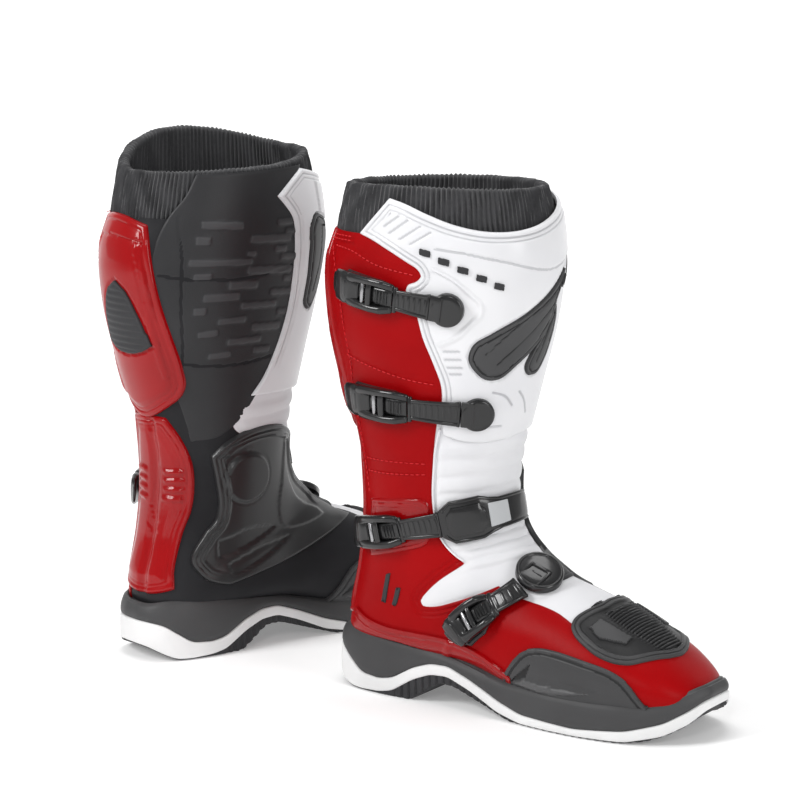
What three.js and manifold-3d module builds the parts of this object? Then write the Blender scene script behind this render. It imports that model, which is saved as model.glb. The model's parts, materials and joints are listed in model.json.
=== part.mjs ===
import * as THREE from 'three';
import { mergeVertices } from 'three/addons/utils/BufferGeometryUtils.js';
import Module from 'manifold-3d';

// A pair of off-road riding boots, toes turned apart, standing on the ground plane.
// Millimetres, +Z up. Each boot is modelled as a left boot in its own frame: x runs
// to the toe, y to the outer side (where the buckles are), z up from the ground.
// The right boot is the same boot mirrored in y.

const wasm = await Module();
wasm.setup();

// ---- driving sizes ----
const shaftHeight = 388; // ground to the top line of the shaft
const footLength = 314; // heel to toe tip of the sole
const ballWidth = 114; // width of the sole at the ball
const stance = {
  right: { heading: -33.3, at: [40.1, 0] },
  left: { heading: 38.0, at: [-142.5, 148.9] },
};
const ankle = { x: -10, z: 112, notchRise: 0.5, gap: 0.4 }; // flex axis of the shaft on the foot

// layers, measured outward from the skin of the boot
const upperLayer = { inner: -5.5, outer: -1.5 };
const liningLayer = { inner: -9, outer: -6.5 };
const collarLayer = { inner: -9.5, outer: -1.2 };
const insoleThickness = 2.6;
const insoleGap = 1.5;
const plateThickness = 3.6;
const plateGap = 0.5; // skin to the back of every plate
const bellowsThickness = 2.4;
const hardwareGap = 1.3; // top of a plate to the hardware above it
const soleGap = 0.4; // between the upper, the midsole and the outsole

// buckles
const strapWidth = 20;
const strapThickness = 3;
const leverWidth = 26;
const ankleBandWidth = 26; // the plate across the front of the ankle
const leverHeight = 8;
const receiverWidth = 30;
const receiverThickness = 3.4;
const capRadius = 12.5;
const capHeight = 5;
const instepCapRadius = 18;
const hingeGap = 0.6; // between the parts of a hinge
const strapSwing = 60; // degrees that an undone strap opens
const leverFlip = 95; // degrees that a lever lifts
const ankleFlex = 12; // degrees that the shaft leans forward

const plateTop = plateGap + plateThickness;
const hardwareBase = plateTop + hardwareGap;

// ---- the skin of the boot ----
// One row per station, from the top of the shaft down and along to the toe:
// front ridge x, z; back ridge x, z; half width outer, inner; squareness front, back.
const heightShare = shaftHeight / 388;
const lengthShare = footLength / 314;
const widthShare = ballWidth / 114;
const shaftStations = [
  [77, 388, -88, 386, 64, 63, 2.1, 2.1],
  [84, 340, -97, 336, 67, 65, 2.1, 2.2],
  [78, 290, -95, 286, 64, 63, 2.1, 2.2],
  [65, 240, -83, 236, 58, 57, 2.1, 2.2],
  [54, 196, -71, 190, 53, 51, 2.1, 2.2],
];
const footStations = [
  [50, 160, -67, 144, 49, 47, 2.1, 2.2],
  [57, 134, -71, 98, 46, 44, 2.1, 2.4],
  [75, 115, -79, 62, 44, 42, 2.1, 2.6],
  [96, 102, -77, 41, 45, 42, 2.2, 3.0],
  [119, 94, -42, 36, 46, 43, 2.3, 3.2],
  [145, 84, 30, 35, 49, 46, 2.4, 3.4],
  [169, 72, 102, 16, 54, 48, 2.5, 3.6],
  [194, 57, 160, 14, 50, 46, 2.5, 3.4],
  [213, 42, 198, 18, 37, 35, 2.4, 3.0],
  [221, 34, 216, 27, 14, 14, 2.2, 2.6],
];
const shaftFoot = footStations[0][1]; // the shaft stretches above this height
const stretchHeight = (z) => shaftFoot + (z - shaftFoot) * heightShare;
const stations = [
  ...shaftStations.map((row) => [row[0], stretchHeight(row[1]), row[2], stretchHeight(row[3]), ...row.slice(4)]),
  ...footStations.map((row) => [
    row[0] > 0 ? row[0] * lengthShare : row[0], row[1],
    row[2] > 0 ? row[2] * lengthShare : row[2], row[3],
    row[4] * widthShare, row[5] * widthShare, row[6], row[7],
  ]),
];
const toeStation = stations.length - 1;

function stationAt(v) {
  const k = Math.min(Math.floor(Math.max(v, 0)), toeStation - 1);
  const u = v - k;
  const [a, b, c, d] = [k - 1, k, k + 1, k + 2].map((i) => stations[Math.min(Math.max(i, 0), toeStation)]);
  return b.map((_, i) => {
    const before = k === 0 ? 2 * b[i] - c[i] : a[i];
    const after = k === toeStation - 1 ? 2 * c[i] - b[i] : d[i];
    const first = 2 * before - 5 * b[i] + 4 * c[i] - after;
    const second = -before + 3 * b[i] - 3 * c[i] + after;
    return 0.5 * (2 * b[i] + (c[i] - before) * u + first * u * u + second * u * u * u);
  });
}

// v is the station, degrees run from the front ridge round the outer side to the back
function skinPoint(v, degrees) {
  const [frontX, frontZ, backX, backZ, outer, inner, squareFront, squareBack] = stationAt(v);
  const angle = THREE.MathUtils.degToRad(degrees);
  const c = Math.cos(angle);
  const s = Math.sin(angle);
  const square = c > 0 ? squareFront : squareBack;
  const r = (Math.abs(c) ** square + Math.abs(s) ** square) ** (-1 / square);
  const swing = c * r;
  return new THREE.Vector3(
    (frontX + backX) / 2 + ((frontX - backX) / 2) * swing,
    (s > 0 ? outer : inner) * s * r,
    (frontZ + backZ) / 2 + ((frontZ - backZ) / 2) * swing,
  );
}

function skinNormal(v, degrees) {
  const dv = 0.02;
  const dAngle = 0.5;
  const low = Math.max(v - dv, 0);
  const high = Math.min(v + dv, toeStation);
  const down = skinPoint(high, degrees).sub(skinPoint(low, degrees));
  const round = skinPoint(v, degrees + dAngle).sub(skinPoint(v, degrees - dAngle));
  return round.cross(down).multiplyScalar(-1).normalize();
}

const lifted = (v, degrees, lift) => skinPoint(v, degrees).addScaledVector(skinNormal(v, degrees), lift);

// ---- solids ----
function solidGeometry(points, triangles) {
  let volume = 0;
  for (const [a, b, c] of triangles) {
    volume += points[a].dot(points[b].clone().cross(points[c]));
  }
  const index = volume > 0 ? triangles.flat() : triangles.flatMap(([a, b, c]) => [a, c, b]);
  const geometry = new THREE.BufferGeometry();
  geometry.setAttribute('position', new THREE.Float32BufferAttribute(points.flatMap((p) => p.toArray()), 3));
  geometry.setIndex(index);
  return geometry;
}

// a closed wall between two equal grids of points; a ring joins its last column to its first
function wallBetween(innerGrid, outerGrid, ring = false) {
  const rows = innerGrid.length;
  const columns = innerGrid[0].length;
  const points = [...innerGrid.flat(), ...outerGrid.flat()];
  const at = (layer, i, j) => layer * rows * columns + i * columns + (j % columns);
  const triangles = [];
  const quad = (a, b, c, d) => triangles.push([a, b, c], [a, c, d]);
  const lastColumn = ring ? columns : columns - 1;
  for (let j = 0; j < lastColumn; j += 1) {
    for (let i = 0; i < rows - 1; i += 1) {
      quad(at(1, i, j), at(1, i + 1, j), at(1, i + 1, j + 1), at(1, i, j + 1));
      quad(at(0, i, j), at(0, i, j + 1), at(0, i + 1, j + 1), at(0, i + 1, j));
    }
    quad(at(0, 0, j), at(1, 0, j), at(1, 0, j + 1), at(0, 0, j + 1));
    quad(at(0, rows - 1, j + 1), at(1, rows - 1, j + 1), at(1, rows - 1, j), at(0, rows - 1, j));
  }
  if (!ring) {
    for (let i = 0; i < rows - 1; i += 1) {
      quad(at(0, i + 1, 0), at(1, i + 1, 0), at(1, i, 0), at(0, i, 0));
      quad(at(0, i, columns - 1), at(1, i, columns - 1), at(1, i + 1, columns - 1), at(0, i + 1, columns - 1));
    }
  }
  return solidGeometry(points, triangles);
}

// a plate on the skin: each row is a list of [station, degrees] across the plate
function plate(rows, across, steps, inner, outer) {
  const alongRow = (row, u) => {
    const place = u * (row.length - 1);
    const k = Math.min(Math.floor(place), row.length - 2);
    return [0, 1].map((n) => THREE.MathUtils.lerp(row[k][n], row[k + 1][n], place - k));
  };
  const grid = (lift) => {
    const lines = [];
    for (let i = 0; i <= (rows.length - 1) * steps; i += 1) {
      const k = Math.min(Math.floor(i / steps), rows.length - 2);
      const part = i / steps - k;
      lines.push(Array.from({ length: across + 1 }, (_, j) => {
        const [a, b] = [rows[k], rows[k + 1]].map((row) => alongRow(row, j / across));
        return lifted(THREE.MathUtils.lerp(a[0], b[0], part), THREE.MathUtils.lerp(a[1], b[1], part), lift);
      }));
    }
    return lines;
  };
  return wallBetween(grid(inner), grid(outer));
}

function toManifold(geometry) {
  const bare = mergeVertices(geometry);
  return new wasm.Manifold(new wasm.Mesh({
    numProp: 3,
    vertProperties: new Float32Array(bare.attributes.position.array),
    triVerts: new Uint32Array(bare.index.array),
  }));
}

function fromManifold(solid) {
  const mesh = solid.getMesh();
  const geometry = new THREE.BufferGeometry();
  geometry.setAttribute('position', new THREE.BufferAttribute(new Float32Array(mesh.vertProperties), 3));
  geometry.setIndex(new THREE.BufferAttribute(new Uint32Array(mesh.triVerts), 1));
  return geometry;
}

function boxBetween(low, high, tilt = 0) {
  const size = high.map((value, i) => value - low[i]);
  const geometry = new THREE.BoxGeometry(...size);
  geometry.deleteAttribute('normal');
  geometry.deleteAttribute('uv');
  geometry.translate(...low.map((value, i) => value + size[i] / 2));
  geometry.rotateY(tilt);
  return geometry;
}

// the whole boot as one closed body, its skin moved out by lift
const bodyStations = [0, 1, 2, 3, 4, 5, 5.7, 6.4, 7, 7.6, 8.3, 9, 10, 11, 12, 12.8];
const ringSteps = 16;
function bootBody(lift, ends, headroom) {
  const lines = [...bodyStations, ...ends].map((v) => Array.from({ length: ringSteps }, (_, j) => (
    lifted(v, (j * 360) / ringSteps, lift))));
  lines[0].forEach((point) => { point.z += headroom; });
  const points = lines.flat();
  const triangles = [];
  for (let i = 0; i < lines.length - 1; i += 1) {
    for (let j = 0; j < ringSteps; j += 1) {
      const [a, b] = [i * ringSteps + j, i * ringSteps + ((j + 1) % ringSteps)];
      triangles.push([a, a + ringSteps, b + ringSteps], [a, b + ringSteps, b]);
    }
  }
  const tip = points.length - ringSteps;
  for (let j = 1; j < ringSteps - 1; j += 1) {
    triangles.push([0, j, j + 1], [tip, tip + j + 1, tip + j]);
  }
  return toManifold(solidGeometry(points, triangles));
}

// ---- upper, lining, collar ----
const upperTop = skinPoint(0.72, 180).z; // the collar starts above this height
const reach = 400;
const halfSpaceAbove = (z, tilt) => {
  const box = boxBetween([-reach, -reach, 0], [reach, reach, reach], tilt);
  box.translate(ankle.x, 0, z);
  return toManifold(box);
};
const notchAngle = Math.atan(ankle.notchRise);

function makeUppers() {
  const shell = bootBody(upperLayer.outer, [13.5, 14], 0).subtract(bootBody(upperLayer.inner, [13.3], 30));
  const open = shell.subtract(halfSpaceAbove(upperTop, 0));
  const aboveAxis = halfSpaceAbove(ankle.z + ankle.gap, 0);
  const aboveNotch = halfSpaceAbove(ankle.z + ankle.gap, -notchAngle);
  return {
    shaft: fromManifold(open.intersect(aboveAxis).intersect(aboveNotch)),
    foot: fromManifold(open.subtract(halfSpaceAbove(ankle.z - ankle.gap, 0))),
  };
}

function makeLining() {
  const shell = bootBody(liningLayer.outer, [13.1], 0).subtract(bootBody(liningLayer.inner, [], 30));
  return fromManifold(shell.subtract(halfSpaceAbove(upperTop, 0)));
}

// the elastic collar: its rim may stand higher at the front and on the outer side
function makeCollar(rise) {
  const steps = 24;
  const bottom = 0.62;
  const rimHeight = (degrees) => {
    const angle = THREE.MathUtils.degToRad(degrees);
    return rise.all + rise.front * Math.max(Math.cos(angle), 0) ** 2 + rise.outer * Math.max(Math.sin(angle), 0) ** 2;
  };
  const grid = (lift) => [[bottom, 0], [bottom / 2, 0], [0, 0], [0, 1]].map(([v, up]) => (
    Array.from({ length: steps }, (_, j) => {
      const degrees = (j * 360) / steps;
      const point = lifted(v, degrees, lift);
      point.z += up * rimHeight(degrees);
      return point;
    })));
  return wallBetween(grid(collarLayer.inner), grid(collarLayer.outer), true);
}

// ---- sole ----
// rows along the boot: x, half width outer, half width inner
const soleOutline = [
  [-92, 9, 9], [-88, 21, 21], [-80, 31, 30], [-66, 38, 37], [-45, 43, 41], [-10, 45, 42], [30, 47, 41],
  [62, 50, 43], [90, 55, 48], [125, 59, 53], [155, 59, 54], [180, 55, 51], [200, 46, 44], [214, 35, 35],
  [223, 24, 25], [229, 13, 14],
];
const heelRise = 13; // how far the back of the heel is bevelled up
const toeSpring = 26; // how far the toe is turned up
const outsoleBottom = [[-92, heelRise], [-80, 5], [-70, 0], [-10, 0], [4, 10], [14, 17], [28, 17], [46, 11],
  [64, 5], [80, 0], [176, 0], [195, 2.5], [210, 8], [222, 16], [229, toeSpring]];
const outsoleTop = [[-92, 32], [-80, 29], [-70, 22], [-58, 14], [-40, 12.5], [-27, 15], [-8, 26], [8, 31.5],
  [24, 32], [44, 25], [70, 14], [92, 8], [139, 6], [180, 9.5], [205, 16], [220, 25], [229, 33]];
const midsoleTop = [[-92, 45], [-80, 48], [-55, 48], [-9, 44], [10, 42], [28, 39.5], [74, 29], [150, 28],
  [195, 29], [207, 32], [218, 37], [229, 42]];

function heightAlong(line, x) {
  const next = line.findIndex(([at]) => at > x);
  const k = next < 0 ? line.length - 1 : Math.max(next, 1);
  const [[x0, z0], [x1, z1]] = [line[k - 1], line[k]];
  return THREE.MathUtils.lerp(z0, z1, THREE.MathUtils.clamp((x - x0) / (x1 - x0), 0, 1));
}

const solePlan = [-92, -88, -80, -70, -58, -40, -24, -10, 4, 14, 28, 46, 64, 80, 100, 125, 155, 176, 195, 205, 214,
  223, 229];
const outlineWidth = (x, side) => heightAlong(soleOutline.map((row) => [row[0], row[side]]), x);

// a stack of outlines: each level is an inset and a height line, lowest first
function soleStack(levels) {
  const middle = (solePlan[0] + solePlan[solePlan.length - 1]) / 2;
  const ringAt = ({ inset, line, up = 0 }) => {
    const spot = (x, side) => {
      const shrink = 1 - inset / (footLength / 2);
      const plan = middle + (x - middle) * shrink;
      const width = outlineWidth(x, side === 1 ? 1 : 2) * widthShare - inset;
      const xReal = plan > 0 ? plan * lengthShare : plan;
      return new THREE.Vector3(xReal, side * Math.max(width, 3), heightAlong(line, x) + up);
    };
    return [...solePlan.map((x) => spot(x, 1)), ...solePlan.map((x) => spot(x, -1)).reverse()];
  };
  const rings = levels.map(ringAt);
  const count = rings[0].length;
  const points = rings.flat();
  const triangles = [];
  for (let k = 0; k < rings.length - 1; k += 1) {
    for (let j = 0; j < count; j += 1) {
      const next = (j + 1) % count;
      const [a, b, c, d] = [k * count + j, k * count + next, (k + 1) * count + next, (k + 1) * count + j];
      triangles.push([a, b, c], [a, c, d]);
    }
  }
  const top = (rings.length - 1) * count;
  for (let j = 0; j < solePlan.length - 1; j += 1) {
    const far = count - 1 - j;
    triangles.push([far, j + 1, j], [far, far - 1, j + 1]);
    triangles.push([top + far, top + j, top + j + 1], [top + far, top + j + 1, top + far - 1]);
  }
  return solidGeometry(points, triangles);
}

const outsoleLevels = [
  { inset: 2, line: outsoleBottom }, { inset: 0, line: outsoleBottom, up: 3 }, { inset: 0, line: outsoleTop },
];
const midsoleLevels = [
  { inset: 1, line: outsoleTop, up: soleGap }, { inset: 0.5, line: outsoleTop, up: 6 }, { inset: 5, line: midsoleTop },
];

function makeMidsole() {
  const foot = bootBody(plateGap - 0.1, [13.5, 14], 0);
  return fromManifold(toManifold(soleStack(midsoleLevels)).subtract(foot));
}

// ---- plates on the skin ----
const plateRows = {
  shin_plate: [
    [[0.10, 96], [0.38, 70], [0.58, 40], [0.48, 5], [0.2, -35], [0.05, -62]],
    [[0.45, 110], [0.6, 74], [0.8, 40], [0.75, 5], [0.5, -35], [0.4, -78]],
    [[0.72, 106], [0.85, 76], [1.0, 40], [1.0, 5], [0.8, -35], [0.75, -70]],
    [[1.15, 81], [1.2, 52], [1.25, 22], [1.25, -8], [1.2, -38], [1.15, -68]],
    [[2.0, 78], [2.0, 48], [2.0, 18], [2.0, -12], [2.0, -41], [2.0, -69]],
    [[2.9, 65], [2.9, 38], [2.9, 10], [2.9, -18], [2.9, -47], [2.9, -76]],
    [[3.5, 64], [3.5, 34], [3.5, 4], [3.5, -26], [3.5, -57], [3.5, -88]],
    [[4.0, 68], [4.0, 42], [4.0, 16], [4.0, -10], [4.0, -36], [4.0, -60]],
    [[4.8, 70], [4.8, 47], [4.8, 24], [4.8, 0], [4.8, -22], [4.8, -44]],
  ],
  calf_guard: [
    [[0.72, 152], [0.62, 180], [0.78, 206]], [[1.3, 147], [1.3, 210]], [[2.0, 144], [2.0, 215]],
    [[2.6, 141], [2.6, 219]], [[3.2, 139], [3.2, 223]], [[3.6, 147], [3.6, 214]], [[3.84, 164], [3.84, 196]],
  ],
  achilles_guard: [
    [[3.98, 160], [3.98, 200]], [[4.3, 153], [4.3, 212]], [[4.8, 148], [4.8, 223]], [[5.5, 149], [5.5, 224]],
    [[6.2, 146], [6.2, 217]], [[6.8, 143], [6.8, 218]], [[7.12, 142], [7.12, 219]],
  ],
  ankle_cup: [
    [[6.4, 126], [6.4, 70]], [[6.75, 128], [6.75, 62]], [[7.1, 126], [7.1, 84]], [[7.5, 118], [7.5, 92]],
  ],
  ankle_guard: [
    [[4.35, -112], [4.35, -68]], [[4.9, -122], [4.9, -64]], [[5.5, -118], [5.5, -62]], [[6.1, -112], [6.1, -56]],
    [[6.8, -100], [6.8, -40]], [[7.5, -94], [7.5, -32]], [[8.2, -92], [8.2, -32]],
  ],
  toe_pad: [
    [[9.7, 40], [9.7, -38]], [[10.3, 56], [10.3, -50]], [[10.9, 58], [10.9, -52]], [[11.5, 54], [11.5, -48]],
    [[11.95, 22], [11.95, -20]],
  ],
  bellows: [
    [[5.2, 44], [5.2, -42]], [[5.9, 50], [5.9, -42]], [[6.4, 50], [6.4, -36]], [[6.8, 46], [6.8, -28]],
    [[7.0, 38], [7.0, -24]],
  ],
};
const insoleRows = [[[9, 158], [9, 202]], [[10, 157], [10, 203]], [[11, 156], [11, 204]], [[12, 158], [12, 202]]];

// ---- buckles ----
// a line on the skin from the middle of the anchor to the far end of the lever, in [station, degrees];
// the lever starts at its share of that line
const buckles = [
  { from: [1.68, 63], to: [1.36, 126], leverAt: 0.4, rides: 'shaft' },
  { from: [3.28, 42], to: [3.08, 132], leverAt: 0.44, rides: 'shaft' },
  { from: [5.4, 44], to: [5.48, 146], leverAt: 0.48, rides: 'shaft', plateEnds: [-0.6, 0.2], receiverEnd: 0.84 },
  { from: [7.72, 21], to: [9.35, 106], leverAt: 0.47, rides: 'foot', cap: instepCapRadius },
];

function trackOf(buckle) {
  const spot = (s) => buckle.from.map((value, i) => THREE.MathUtils.lerp(value, buckle.to[i], s));
  const frameAt = (s) => {
    const point = skinPoint(...spot(s));
    const normal = skinNormal(...spot(s));
    const along = skinPoint(...spot(s + 0.01)).sub(skinPoint(...spot(s - 0.01)));
    along.addScaledVector(normal, -along.dot(normal)).normalize();
    const width = new THREE.Vector3().crossVectors(normal, along);
    return { point, normal, along, width };
  };
  const steps = 60;
  const span = Array.from({ length: steps }, (_, i) => (
    lifted(...spot(i / steps), hardwareBase).distanceTo(lifted(...spot((i + 1) / steps), hardwareBase))));
  const length = span.reduce((sum, value) => sum + value, 0);
  return { frameAt, length };
}

// a bar along the track: each section is a place in mm from the anchor, a low and a high lift, a width
function barOn(track, sections) {
  const edge = (key) => sections.map(({ at, width, ...levels }) => {
    const { point, normal, width: side } = track.frameAt(at / track.length);
    const centre = point.clone().addScaledVector(normal, levels[key]);
    return [-0.5, 0.5].map((half) => centre.clone().addScaledVector(side, half * width));
  });
  return wallBetween(edge('low'), edge('high'));
}

// the same sections with one more half way between each two, so that a long bar follows the skin
function withMiddles(sections) {
  const middles = sections.slice(1).map((section, i) => section.map((value, n) => (value + sections[i][n]) / 2));
  return sections.flatMap((section, i) => (i < middles.length ? [section, middles[i]] : [section]));
}

// the first place along the track where a strap clears a round cap at its start
function clearOfCap(track, radius) {
  const seat = track.frameAt(0);
  const step = 0.1;
  let at = radius;
  for (let reached = 0; reached < radius + hingeGap; at += step) {
    const { point, normal } = track.frameAt(at / track.length);
    const strapBack = point.addScaledVector(normal, hardwareBase).sub(seat.point);
    reached = strapBack.dot(seat.along);
  }
  return at;
}

const evenPlaces = (start, end, count) => Array.from({ length: count + 1 }, (_, i) => start + ((end - start) * i) / count);

function makeBuckle(buckle) {
  const track = trackOf(buckle);
  const cap = buckle.cap ?? capRadius;
  const rootAt = buckle.plateEnds ? buckle.plateEnds[1] * track.length + hingeGap : clearOfCap(track, cap);
  const pinAt = buckle.leverAt * track.length;
  const strapLow = hardwareBase;
  const strapMid = strapLow + strapThickness / 2;
  const rounded = (at, inward) => [0, 0.45, 1].map((part) => ({
    at: at + inward * part * strapThickness * 0.5,
    low: strapMid - strapThickness * (0.2 + 0.3 * part),
    high: strapMid + strapThickness * (0.2 + 0.3 * part),
    width: strapWidth,
  }));
  const strapStart = rootAt;
  const strapEnd = pinAt - hingeGap / 2;
  const strap = barOn(track, [
    ...rounded(strapStart, 1),
    ...evenPlaces(strapStart, strapEnd, 4).slice(1, -1)
      .map((at) => ({ at, low: strapLow, high: strapLow + strapThickness, width: strapWidth })),
    ...rounded(strapEnd, -1).reverse(),
  ]);

  const leverStart = pinAt + hingeGap / 2;
  const leverEnd = track.length;
  const leverLength = leverEnd - leverStart;
  const shape = [[0, 0.5, 1.4, 0.78], [1.5, 0, 2.2, 0.78], [10, 0, 7, 1], [0.35 * leverLength, 0, leverHeight, 1],
    [0.6 * leverLength, 0, leverHeight, 1], [0.85 * leverLength, 0, leverHeight - 2, 0.9],
    [leverLength, 0.5, 3.5, 0.7]];
  const lever = barOn(track, withMiddles(shape).map(([at, low, high, share]) => ({
    at: leverStart + at, low: strapLow + low, high: strapLow + high, width: leverWidth * share,
  })));

  const receiverEnd = (buckle.receiverEnd ?? 0.98) * track.length;
  const receiver = barOn(track, evenPlaces(leverStart + 8, receiverEnd, 5).map((at) => ({
    at, low: plateGap + 0.4, high: plateGap + 0.4 + receiverThickness, width: receiverWidth,
  })));

  let anchor;
  const seat = track.frameAt(0);
  if (buckle.plateEnds) {
    const places = evenPlaces(buckle.plateEnds[0] * track.length, rootAt - hingeGap, 8);
    anchor = barOn(track, places.map((at) => ({ at, low: hardwareBase, high: hardwareBase + strapThickness, width: ankleBandWidth })));
  } else {
    anchor = new THREE.CylinderGeometry(cap - 1.5, cap, capHeight, 20);
    anchor.deleteAttribute('normal');
    anchor.deleteAttribute('uv');
    anchor = mergeVertices(anchor);
    anchor.translate(0, capHeight / 2 + plateTop + soleGap, 0);
    anchor.applyMatrix4(new THREE.Matrix4().makeBasis(seat.width, seat.normal, seat.along));
    anchor.translate(...seat.point);
  }
  const hinge = (at) => {
    const { point, normal, width } = track.frameAt(at / track.length);
    return { at: point.clone().addScaledVector(normal, strapMid), axis: width.clone().negate() };
  };
  return { strap, lever, receiver, anchor, strapHinge: hinge(rootAt + strapThickness * 0.25), leverHinge: hinge(pinAt) };
}

// ---- materials ----
const paint = (color, roughness, metalness = 0) => ({ color, roughness, metalness });
const finishes = {
  redLeather: paint(0xa80d12, 0.45),
  redPlastic: paint(0xb01016, 0.25),
  whitePlastic: paint(0xe9e9ea, 0.4),
  whiteRubber: paint(0xe4e4e4, 0.6),
  darkRubber: paint(0x3d3d3f, 0.7),
  blackLeather: paint(0x26262a, 0.6),
  blackPlastic: paint(0x1d1d20, 0.35),
  blackFabric: paint(0x2f2f33, 0.95),
};
const finishOf = {
  outsole: 'whiteRubber', midsole: 'darkRubber', insole: 'blackFabric', lining: 'blackFabric',
  foot_upper: 'redLeather', shaft_upper: 'redLeather', collar: 'blackFabric', bellows: 'whitePlastic',
  shin_plate: 'whitePlastic', calf_guard: 'redPlastic', achilles_guard: 'redPlastic', ankle_cup: 'redPlastic',
  ankle_guard: 'blackPlastic', toe_pad: 'blackPlastic',
};

// ---- one boot ----
function makeBoot(name, collarRise) {
  const mirrored = name === 'right';
  const boot = new THREE.Group();
  const add = (piece, geometry, finish) => {
    const shape = geometry.clone();
    if (mirrored) {
      shape.scale(1, -1, 1);
      const { array } = shape.index;
      for (let i = 0; i < array.length; i += 3) [array[i], array[i + 1]] = [array[i + 1], array[i]];
    }
    const mesh = new THREE.Mesh(shape, new THREE.MeshStandardMaterial(finishes[finish ?? finishOf[piece]]));
    mesh.name = `${name}_${piece}`;
    boot.add(mesh);
  };
  const uppers = makeUppers();
  add('outsole', soleStack(outsoleLevels));
  add('midsole', makeMidsole());
  add('insole', plate(insoleRows, 4, 1, liningLayer.inner - insoleGap - insoleThickness, liningLayer.inner - insoleGap));
  add('lining', makeLining());
  add('foot_upper', uppers.foot);
  add('shaft_upper', uppers.shaft);
  add('collar', makeCollar(collarRise));
  add('bellows', plate(plateRows.bellows, 8, 2, plateGap, plateGap + bellowsThickness));
  add('shin_plate', plate(plateRows.shin_plate, 12, 2, plateGap, plateTop));
  add('calf_guard', plate(plateRows.calf_guard, 6, 1, plateGap, plateTop));
  add('achilles_guard', plate(plateRows.achilles_guard, 6, 1, plateGap, plateTop));
  add('ankle_cup', plate(plateRows.ankle_cup, 5, 1, plateGap, plateTop));
  add('ankle_guard', plate(plateRows.ankle_guard, 5, 1, plateGap + 1, plateTop + 1));
  add('toe_pad', plate(plateRows.toe_pad, 8, 2, plateGap, plateTop));
  boot.userData.hinges = {};
  buckles.forEach((buckle, i) => {
    const made = makeBuckle(buckle);
    ['anchor', 'strap', 'lever', 'receiver'].forEach((piece) => add(`${piece}_${i + 1}`, made[piece], 'blackPlastic'));
    boot.userData.hinges[`strap_${i + 1}`] = { ...made.strapHinge, rides: buckle.rides, limit: strapSwing };
    boot.userData.hinges[`lever_${i + 1}`] = { ...made.leverHinge, rides: `strap_${i + 1}`, limit: leverFlip };
  });
  boot.userData.hinges.shaft = {
    at: new THREE.Vector3(ankle.x, 0, ankle.z), axis: new THREE.Vector3(0, 1, 0), rides: 'foot', limit: ankleFlex,
  };
  boot.userData.mirrored = mirrored;
  boot.rotation.z = THREE.MathUtils.degToRad(stance[name].heading);
  boot.position.set(...stance[name].at, 0);
  return boot;
}

const pair = new THREE.Group();
pair.add(makeBoot('right', { all: 3, front: 0, outer: 2 }));
pair.add(makeBoot('left', { all: 4, front: 9, outer: 24 }));

// the origin is the middle of the pair's footprint, on the ground
pair.updateMatrixWorld(true);
const footprint = new THREE.Box3().setFromObject(pair, true);
const centre = footprint.getCenter(new THREE.Vector3());
pair.position.set(-centre.x, -centre.y, -footprint.min.z);

export default pair;
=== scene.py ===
import json
import math

import bpy
import numpy as np
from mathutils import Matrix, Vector


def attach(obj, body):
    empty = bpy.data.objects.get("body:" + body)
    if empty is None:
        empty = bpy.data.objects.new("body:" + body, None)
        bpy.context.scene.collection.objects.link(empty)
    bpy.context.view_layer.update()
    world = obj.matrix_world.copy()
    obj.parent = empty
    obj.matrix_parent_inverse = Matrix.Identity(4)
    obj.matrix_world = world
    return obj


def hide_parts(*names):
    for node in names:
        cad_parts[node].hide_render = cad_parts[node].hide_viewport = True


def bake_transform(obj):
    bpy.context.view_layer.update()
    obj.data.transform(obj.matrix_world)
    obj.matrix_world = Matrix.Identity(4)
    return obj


# A pair of off-road riding boots. Every piece is shaped once as a left boot in
# millimetres (x to the toe, y to the outer side, z up), then laid on both boots.

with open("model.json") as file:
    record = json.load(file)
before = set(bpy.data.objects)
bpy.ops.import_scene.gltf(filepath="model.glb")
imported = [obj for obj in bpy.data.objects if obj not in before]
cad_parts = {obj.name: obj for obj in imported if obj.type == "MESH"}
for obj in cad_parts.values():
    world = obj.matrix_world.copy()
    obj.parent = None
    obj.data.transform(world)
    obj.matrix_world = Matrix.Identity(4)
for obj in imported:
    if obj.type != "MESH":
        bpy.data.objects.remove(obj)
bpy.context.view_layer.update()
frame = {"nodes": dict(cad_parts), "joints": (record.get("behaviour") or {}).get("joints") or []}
bpy.ops.object.select_all(action="DESELECT")
sides = ("right", "left")

# the skin of the boot: front x, z; back x, z; half widths; squareness
stations = np.array([
    [77, 388, -88, 386, 64, 63, 2.1, 2.1], [84, 340, -97, 336, 67, 65, 2.1, 2.2],
    [78, 290, -95, 286, 64, 63, 2.1, 2.2], [65, 240, -83, 236, 58, 57, 2.1, 2.2],
    [54, 196, -71, 190, 53, 51, 2.1, 2.2], [50, 160, -67, 144, 49, 47, 2.1, 2.2],
    [57, 134, -71, 98, 46, 44, 2.1, 2.4], [75, 115, -79, 62, 44, 42, 2.1, 2.6],
    [96, 102, -77, 41, 45, 42, 2.2, 3.0], [119, 94, -42, 36, 46, 43, 2.3, 3.2],
    [145, 84, 30, 35, 49, 46, 2.4, 3.4], [169, 72, 102, 16, 54, 48, 2.5, 3.6],
    [194, 57, 160, 14, 50, 46, 2.5, 3.4], [213, 42, 198, 18, 37, 35, 2.4, 3.0],
    [221, 34, 216, 27, 14, 14, 2.2, 2.6]], float)
perStep = np.array([40, 0.95])  # about how many mm one station and one degree are
endless = np.vstack([2 * stations[0] - stations[1], stations, 2 * stations[-1] - stations[-2]])


def stationAt(v):
    k = np.clip(np.floor(np.maximum(v, 0)), 0, len(stations) - 2).astype(int)
    u = (v - k)[..., None]
    a, b, c, d = (endless[k + i] for i in range(4))
    return 0.5 * (2 * b + (c - a) * u + (2 * a - 5 * b + 4 * c - d) * u * u
                  + (3 * b - a - 3 * c + d) * u * u * u)


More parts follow.
